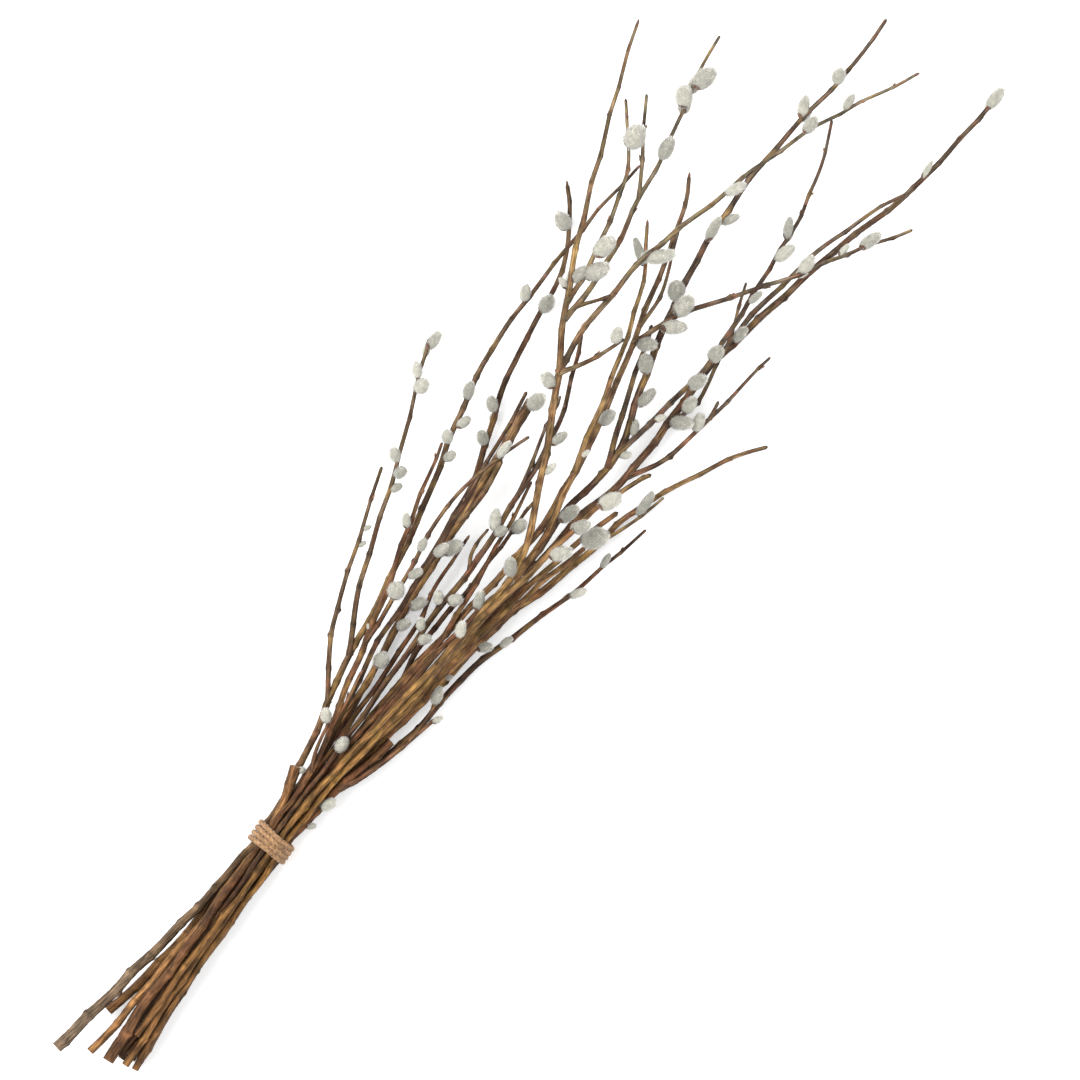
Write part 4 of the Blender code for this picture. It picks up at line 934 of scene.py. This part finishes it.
def bark_material():
    """Streaked bark with pale pores and fine wrinkles."""
    made, tree, shader = plain_material("bark", (0.2, 0.12, 0.06), 0.6, 0.18)
    grain, wrinkle = toned(tree, shader, 0.22, 1.80, 0.9, 7.0, (0.13, 1.0, 1.0))
    streaked = shader.inputs["Base Color"].links[0].from_socket
    spots = node(tree, "ShaderNodeTexVoronoi", {"Vector": grain, "Scale": 0.42}).outputs[0]
    pale = node(tree, "ShaderNodeMapRange", {"Value": spots, "From Min": 0.10, "From Max": 0.16,
                                             "To Min": 0.4, "To Max": 0.0}).outputs[0]
    mixed = node(tree, "ShaderNodeMix", {"Factor": pale}, data_type="RGBA")
    tree.links.new(streaked, mixed.inputs[6])
    mixed.inputs[7].default_value = (0.30, 0.22, 0.13, 1.0)
    tree.links.new(mixed.outputs[2], shader.inputs["Base Color"])
    fine = node(tree, "ShaderNodeTexNoise", {"Vector": grain, "Scale": 3.0, "Detail": 4.0}).outputs[0]
    both = node(tree, "ShaderNodeMath", {0: wrinkle, 1: fine}, operation="ADD").outputs[0]
    raised(tree, shader, both, 0.6)
    rough = node(tree, "ShaderNodeMapRange", {"Value": wrinkle, "To Min": 0.45, "To Max": 0.8}).outputs[0]
    tree.links.new(rough, shader.inputs["Roughness"])
    return made


def wood_material():
    """Pale sawn wood."""
    made, tree, shader = plain_material("cut_wood", (0.5, 0.4, 0.25), 0.8, 0.2)
    _, fibre = toned(tree, shader, 0.7, 1.2, 1.4, 4.0)
    raised(tree, shader, fibre, 0.5)
    return made


def hair_material():
    """Silky hairs that let some light through."""
    made, tree, shader = plain_material("catkin_hairs", (0.7, 0.7, 0.66), 0.45, 0.35)
    toned(tree, shader, 0.54, 1.34, 0.34, 4.0)
    shader.inputs["Sheen Weight"].default_value = 1.0
    shader.inputs["Sheen Roughness"].default_value = 0.35
    colour = shader.inputs["Base Color"].links[0].from_socket
    through = node(tree, "ShaderNodeBsdfTranslucent", {"Color": colour}).outputs[0]
    both = node(tree, "ShaderNodeMixShader", {0: 0.35, 1: shader.outputs[0], 2: through}).outputs[0]
    tree.links.new(both, tree.nodes["Material Output"].inputs["Surface"])
    return made


def body_material():
    """The downy body of a catkin under its hairs."""
    made, tree, shader = plain_material("catkin_body", (0.3, 0.3, 0.25), 0.8, 0.2)
    _, fuzz = toned(tree, shader, 0.82, 1.08, 0.45, 3.0)
    raised(tree, shader, fuzz, 0.3)
    shader.inputs["Sheen Weight"].default_value = 0.9
    return made


def scale_material():
    """Glossy brown scales of buds and catkins."""
    made, tree, shader = plain_material("bud_scale", (0.12, 0.05, 0.03), 0.3, 0.5)
    _, mark = toned(tree, shader, 0.6, 1.4, 0.7, 3.0)
    raised(tree, shader, mark, 0.3, 0.0003)
    return made


def twine_material():
    """Coarse jute, darker between its fibres."""
    made, tree, shader = plain_material("jute", (0.55, 0.36, 0.2), 0.85, 0.15)
    _, fibre = toned(tree, shader, 0.28, 1.50, 1.0, 6.0, (0.2, 1.6, 1.6))
    raised(tree, shader, fibre, 0.9, 0.0006)
    shader.inputs["Sheen Weight"].default_value = 0.25
    return made


def joint_buds(shell, stem, joints, turns, seats, rng):
    """A closed bud at each joint of a thin stem that is clear of the catkins' seats."""
    for joint, angle in zip(joints, turns):
        at = joint / stem.spacing
        spot = spot_at(stem, at)
        radius = float(np.interp(at, np.arange(len(stem.radii)), stem.radii))
        clear = min((np.linalg.norm(spot - seat) for seat in seats), default=BUD_CLEAR)
        if radius > BUD_STEM_RADIUS or clear < BUD_CLEAR:
            continue
        ahead = unit(spot_at(stem, at + 0.5) - spot_at(stem, at - 0.5))
        across = unit(np.cross(ahead, UP))
        out = across * math.cos(angle) + np.cross(across, ahead) * math.sin(angle)
        tint = JOINT_BUD_TONE * rng.uniform(0.7, 1.3)
        length = rng.uniform(*JOINT_BUD_LENGTH)
        closed_bud(shell, spot + out * radius * 0.75, ahead, out, length, JOINT_BUD_THICKNESS, tint)


def listed_buds(shell, name, stems, rng):
    """The closed buds of the table that sit on this branch, each on top of its stem or at its tip."""
    for x, y in BUDS:
        owner = min(stems.values(), key=lambda stem: nearest(stem, x, y)[1])
        if owner.branch != name:
            continue
        at, _ = nearest(owner, x, y)
        last = len(owner.points) - 1
        ahead = unit(owner.points[min(at + 1, last)] - owner.points[max(at - 1, 0)])
        out = np.cross(np.cross(ahead, UP), ahead)
        lift = 0.0 if at == last else 0.6 * owner.radii[at]
        tint = LISTED_BUD_TONE * rng.uniform(0.7, 1.2)
        spot = owner.points[at] + out * lift - ahead * 0.5
        closed_bud(shell, spot, ahead, out, LISTED_BUD_LENGTH, LISTED_BUD_THICKNESS, tint)


def dress_catkin(fur, scales, stem, at, start, end, radius, rng):
    """One catkin: its body, its hairs and the scale on the side away from the stem."""
    span = np.linalg.norm(end - start)
    axis = (end - start) / span
    length = span + 1.6 * radius
    middle = stem.points[at] + (start + end) / 2
    base = middle - axis * length / 2
    side = unit(np.cross(axis, (0.3, 0.2, 0.9)))
    over = np.cross(axis, side)
    pale = rng.uniform(0.0, 1.0)
    foot = base + axis * (length * (1 - CORE) / 2)
    catkin_body(fur, foot, axis, side, over, length * CORE, radius * CORE, BODY_TONE * (0.7 + 0.4 * pale))
    catkin_hairs(fur, base, axis, side, over, length, radius, HAIR_TONE * (0.86 + 0.14 * pale), rng)
    toward = spot_at(stem, at) - middle
    toward = toward - axis * (toward @ axis)
    hug = unit(toward) if np.linalg.norm(toward) > 0.3 else -UP
    turn = math.pi + rng.uniform(-1.0, 1.0)
    out = hug * math.cos(turn) + np.cross(axis, hug) * math.sin(turn)
    tint = CATKIN_SCALE_TONE * rng.uniform(0.5, 1.5)
    catkin_scale(scales, base, axis, out, length, radius * 0.86, rng.uniform(0.12, 0.28), tint)


def dress_branch(name, stems, catkins, materials, number):
    """Bark, catkins and scales of one branch, in place of its solid."""
    rng = np.random.default_rng(SEED + number)
    bark, fur, scales = Shell(), Shell(), Shell()
    bark_kind = LEADERS[name][0]
    own = [catkin for catkin in catkins if stems[catkin[0]].branch == name]
    seats = [stems[owner].points[at] + start for owner, at, start, _, _ in own]
    for stem in stems.values():
        if stem.branch == name:
            joints, turns = bark_stem(bark, stem, TONES[bark_kind], rng)
            joint_buds(scales, stem, joints, turns, seats, rng)
    listed_buds(scales, name, stems, rng)
    for owner, at, start, end, radius in own:
        dress_catkin(fur, scales, stems[owner], at, start, end, radius, rng)
    key = name[-2:]
    for label, shell, looks, slot in (
            ("stems_" + key, bark, ("bark", "wood"), "bark_" + bark_kind),
            ("catkins_" + key, fur, ("hair", "body"), "catkin"),
            ("scales_" + key, scales, ("scale",), "bud_scale")):
        if shell.total:
            piece = shell.build(label, [materials[look] for look in looks])
            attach(piece, "root")
    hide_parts(name)


def twine_path(share):
    """Middle of the wound twine at a share of its whole length."""
    turn = (share - 0.5) * TWINE_TURNS
    angle = FULL_TURN * turn - math.pi / 2
    fan = 1.0 + TWINE_FAN * np.maximum(np.cos(angle), 0.0)
    x = turn * TWINE_PITCH * fan + TWINE_SLANT * np.cos(angle)
    return np.stack([x, TIE_RADIUS * np.cos(angle), TIE_HEIGHT + TIE_RADIUS * np.sin(angle)], axis=-1)


def above_surface(verts):
    """The vertices with none of them under the surface that the bunch lies on."""
    return np.maximum(verts, (-np.inf, -np.inf, 0.0))


def twine_ply(shell, ply, line, distance, side, over, rng):
    """One ply that twists round the others along the twine."""
    angles = angles_round(PLY_SIDES)
    twist = distance * FULL_TURN / PLY_TWIST + ply * FULL_TURN / PLIES
    middle = line + PLY_OFFSET * turned(twist, side, over)
    _, right, up = frames(middle)
    thick = PLY_RADIUS * (1 + 0.07 * np.sin(distance * 0.7 + 2 * ply) + rng.normal(0, 0.03, TWINE_POINTS))
    rough = 1 + 0.05 * np.sin(angles * 4 + distance[:, None] * 2.2)
    around = turned(angles, right[:, None, :], up[:, None, :])
    verts = above_surface(middle[:, None, :] + around * (thick[:, None] * rough)[:, :, None])
    grain = wrapped(distance + 50 * ply, angles + 0.9 * distance[:, None], 1.0)
    tone = TWINE_TONE * rng.uniform(0.70, 1.18, TWINE_POINTS)[:, None, None]
    first_ring = tuple(range(PLY_SIDES))[::-1]
    last_ring = tuple(range((TWINE_POINTS - 1) * PLY_SIDES, TWINE_POINTS * PLY_SIDES))
    faces = grid_faces(TWINE_POINTS, PLY_SIDES) + [first_ring, last_ring]
    shell.add(verts, faces, np.broadcast_to(tone, verts.shape), grain)


def stray_fibres(shell, line, ahead, side, over, rng):
    """Short fibres that stand off the twine, mostly along it."""
    at = rng.integers(4, TWINE_POINTS - 12, STRAYS)
    out = turned(rng.uniform(0, FULL_TURN, STRAYS), side[at], over[at])
    root = line[at] + out * 1.5
    way = ahead[at] * rng.uniform(0.4, 1.0, STRAYS)[:, None] + out * rng.uniform(0.05, 0.5, STRAYS)[:, None]
    way += rng.normal(0, 0.15, (STRAYS, 3))
    reach = rng.uniform(*STRAY_LENGTH, STRAYS)[:, None]
    middle = root + way * reach * 0.5
    across = np.cross(way, out)
    tip = root + way * reach + across * 0.2
    wide = STRAY_WIDTH * across
    verts = np.stack([root - wide, root + wide, middle + wide, middle - wide, tip], axis=1)
    at = (np.arange(STRAYS) * 5)[:, None]
    faces = np.hstack([at, at + 1, at + 2, at + 3]).tolist() + np.hstack([at + 3, at + 2, at + 4]).tolist()
    shell.add(above_surface(verts), faces, STRAY_TONE)


def dress_tie(materials):
    """Jute twine of three plies twisted round each other, with stray fibres, in place of the wound solid."""
    rng = np.random.default_rng(SEED + 90)
    shell = Shell()
    line = twine_path(np.linspace(0, 1, TWINE_POINTS))
    ahead, side, over = frames(line)
    for ply in range(PLIES):
        twine_ply(shell, ply, line, distances(line), side, over, rng)
    stray_fibres(shell, line, ahead, side, over, rng)
    piece = shell.build("twine_tie", [materials["twine"]])
    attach(piece, "root")
    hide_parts("tie")


def set_camera():
    """The camera looks straight down on the bunch."""
    camera = bpy.data.cameras.new("camera")
    camera.sensor_width = SENSOR
    camera.lens = SENSOR * (CAMERA_HEIGHT - SUBJECT_HEIGHT * MM) / (FRAME_WIDTH * MM)
    camera.clip_end = 20.0
    holder = bpy.data.objects.new("camera", camera)
    holder.location = (VIEW_CENTRE[0] * MM, VIEW_CENTRE[1] * MM, CAMERA_HEIGHT)
    holder.rotation_euler = (0.0, 0.0, VIEW_ROLL)
    bpy.context.scene.collection.objects.link(holder)
    bpy.context.scene.camera = holder


def set_lamp(name, place, target, power):
    """A round soft lamp turned to its target."""
    light = bpy.data.lights.new(name, "AREA")
    light.shape = "DISK"
    light.size = LAMP_SIZE
    light.energy = power
    holder = bpy.data.objects.new(name, light)
    holder.location = place
    holder.rotation_euler = (Vector(target) - Vector(place)).to_track_quat("-Z", "Y").to_euler()
    bpy.context.scene.collection.objects.link(holder)


def set_stage():
    """White surroundings, two soft lamps and a white floor."""
    world = bpy.data.worlds.new("studio")
    bpy.context.scene.world = world
    world.use_nodes = True
    world.node_tree.nodes["Background"].inputs[0].default_value = (1.0, 1.0, 1.0, 1.0)
    world.node_tree.nodes["Background"].inputs[1].default_value = WORLD_LIGHT
    for name, (place, target, power) in LAMPS.items():
        set_lamp(name, place, target, power)
    corners = [(x * FLOOR_HALF, y * FLOOR_HALF, 0) for x, y in ((-1, -1), (1, -1), (1, 1), (-1, 1))]
    floor_mesh = bpy.data.meshes.new("floor")
    floor_mesh.from_pydata(corners, [], [(0, 1, 2, 3)])
    floor = bpy.data.objects.new("floor", floor_mesh)
    floor.location = FLOOR_PLACE
    bpy.context.scene.collection.objects.link(floor)
    made, _, shader = plain_material("floor", (0.95, 0.95, 0.95), 0.9, 0.1)
    shader.inputs["Emission Color"].default_value = (1.0, 1.0, 1.0, 1.0)
    shader.inputs["Emission Strength"].default_value = FLOOR_GLOW
    floor_mesh.materials.append(made)
    bpy.context.scene.view_settings.view_transform = "Standard"


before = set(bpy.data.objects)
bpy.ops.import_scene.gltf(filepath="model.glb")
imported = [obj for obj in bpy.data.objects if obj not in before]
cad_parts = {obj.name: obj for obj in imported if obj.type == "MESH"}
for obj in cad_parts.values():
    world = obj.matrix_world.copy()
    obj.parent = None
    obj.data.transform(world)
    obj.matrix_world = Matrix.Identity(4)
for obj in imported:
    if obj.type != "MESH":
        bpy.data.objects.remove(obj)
cad_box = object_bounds()
set_camera()
set_stage()
all_stems = grow_stems()
all_catkins = grow_catkins(all_stems)
spread_apart(all_stems, all_catkins)
kinds = {"bark": bark_material(), "wood": wood_material(), "hair": hair_material(), "body": body_material(),
         "scale": scale_material(), "twine": twine_material()}
for order, branch_name in enumerate(LEADERS):
    dress_branch(branch_name, all_stems, all_catkins, kinds, order)
dress_tie(kinds)
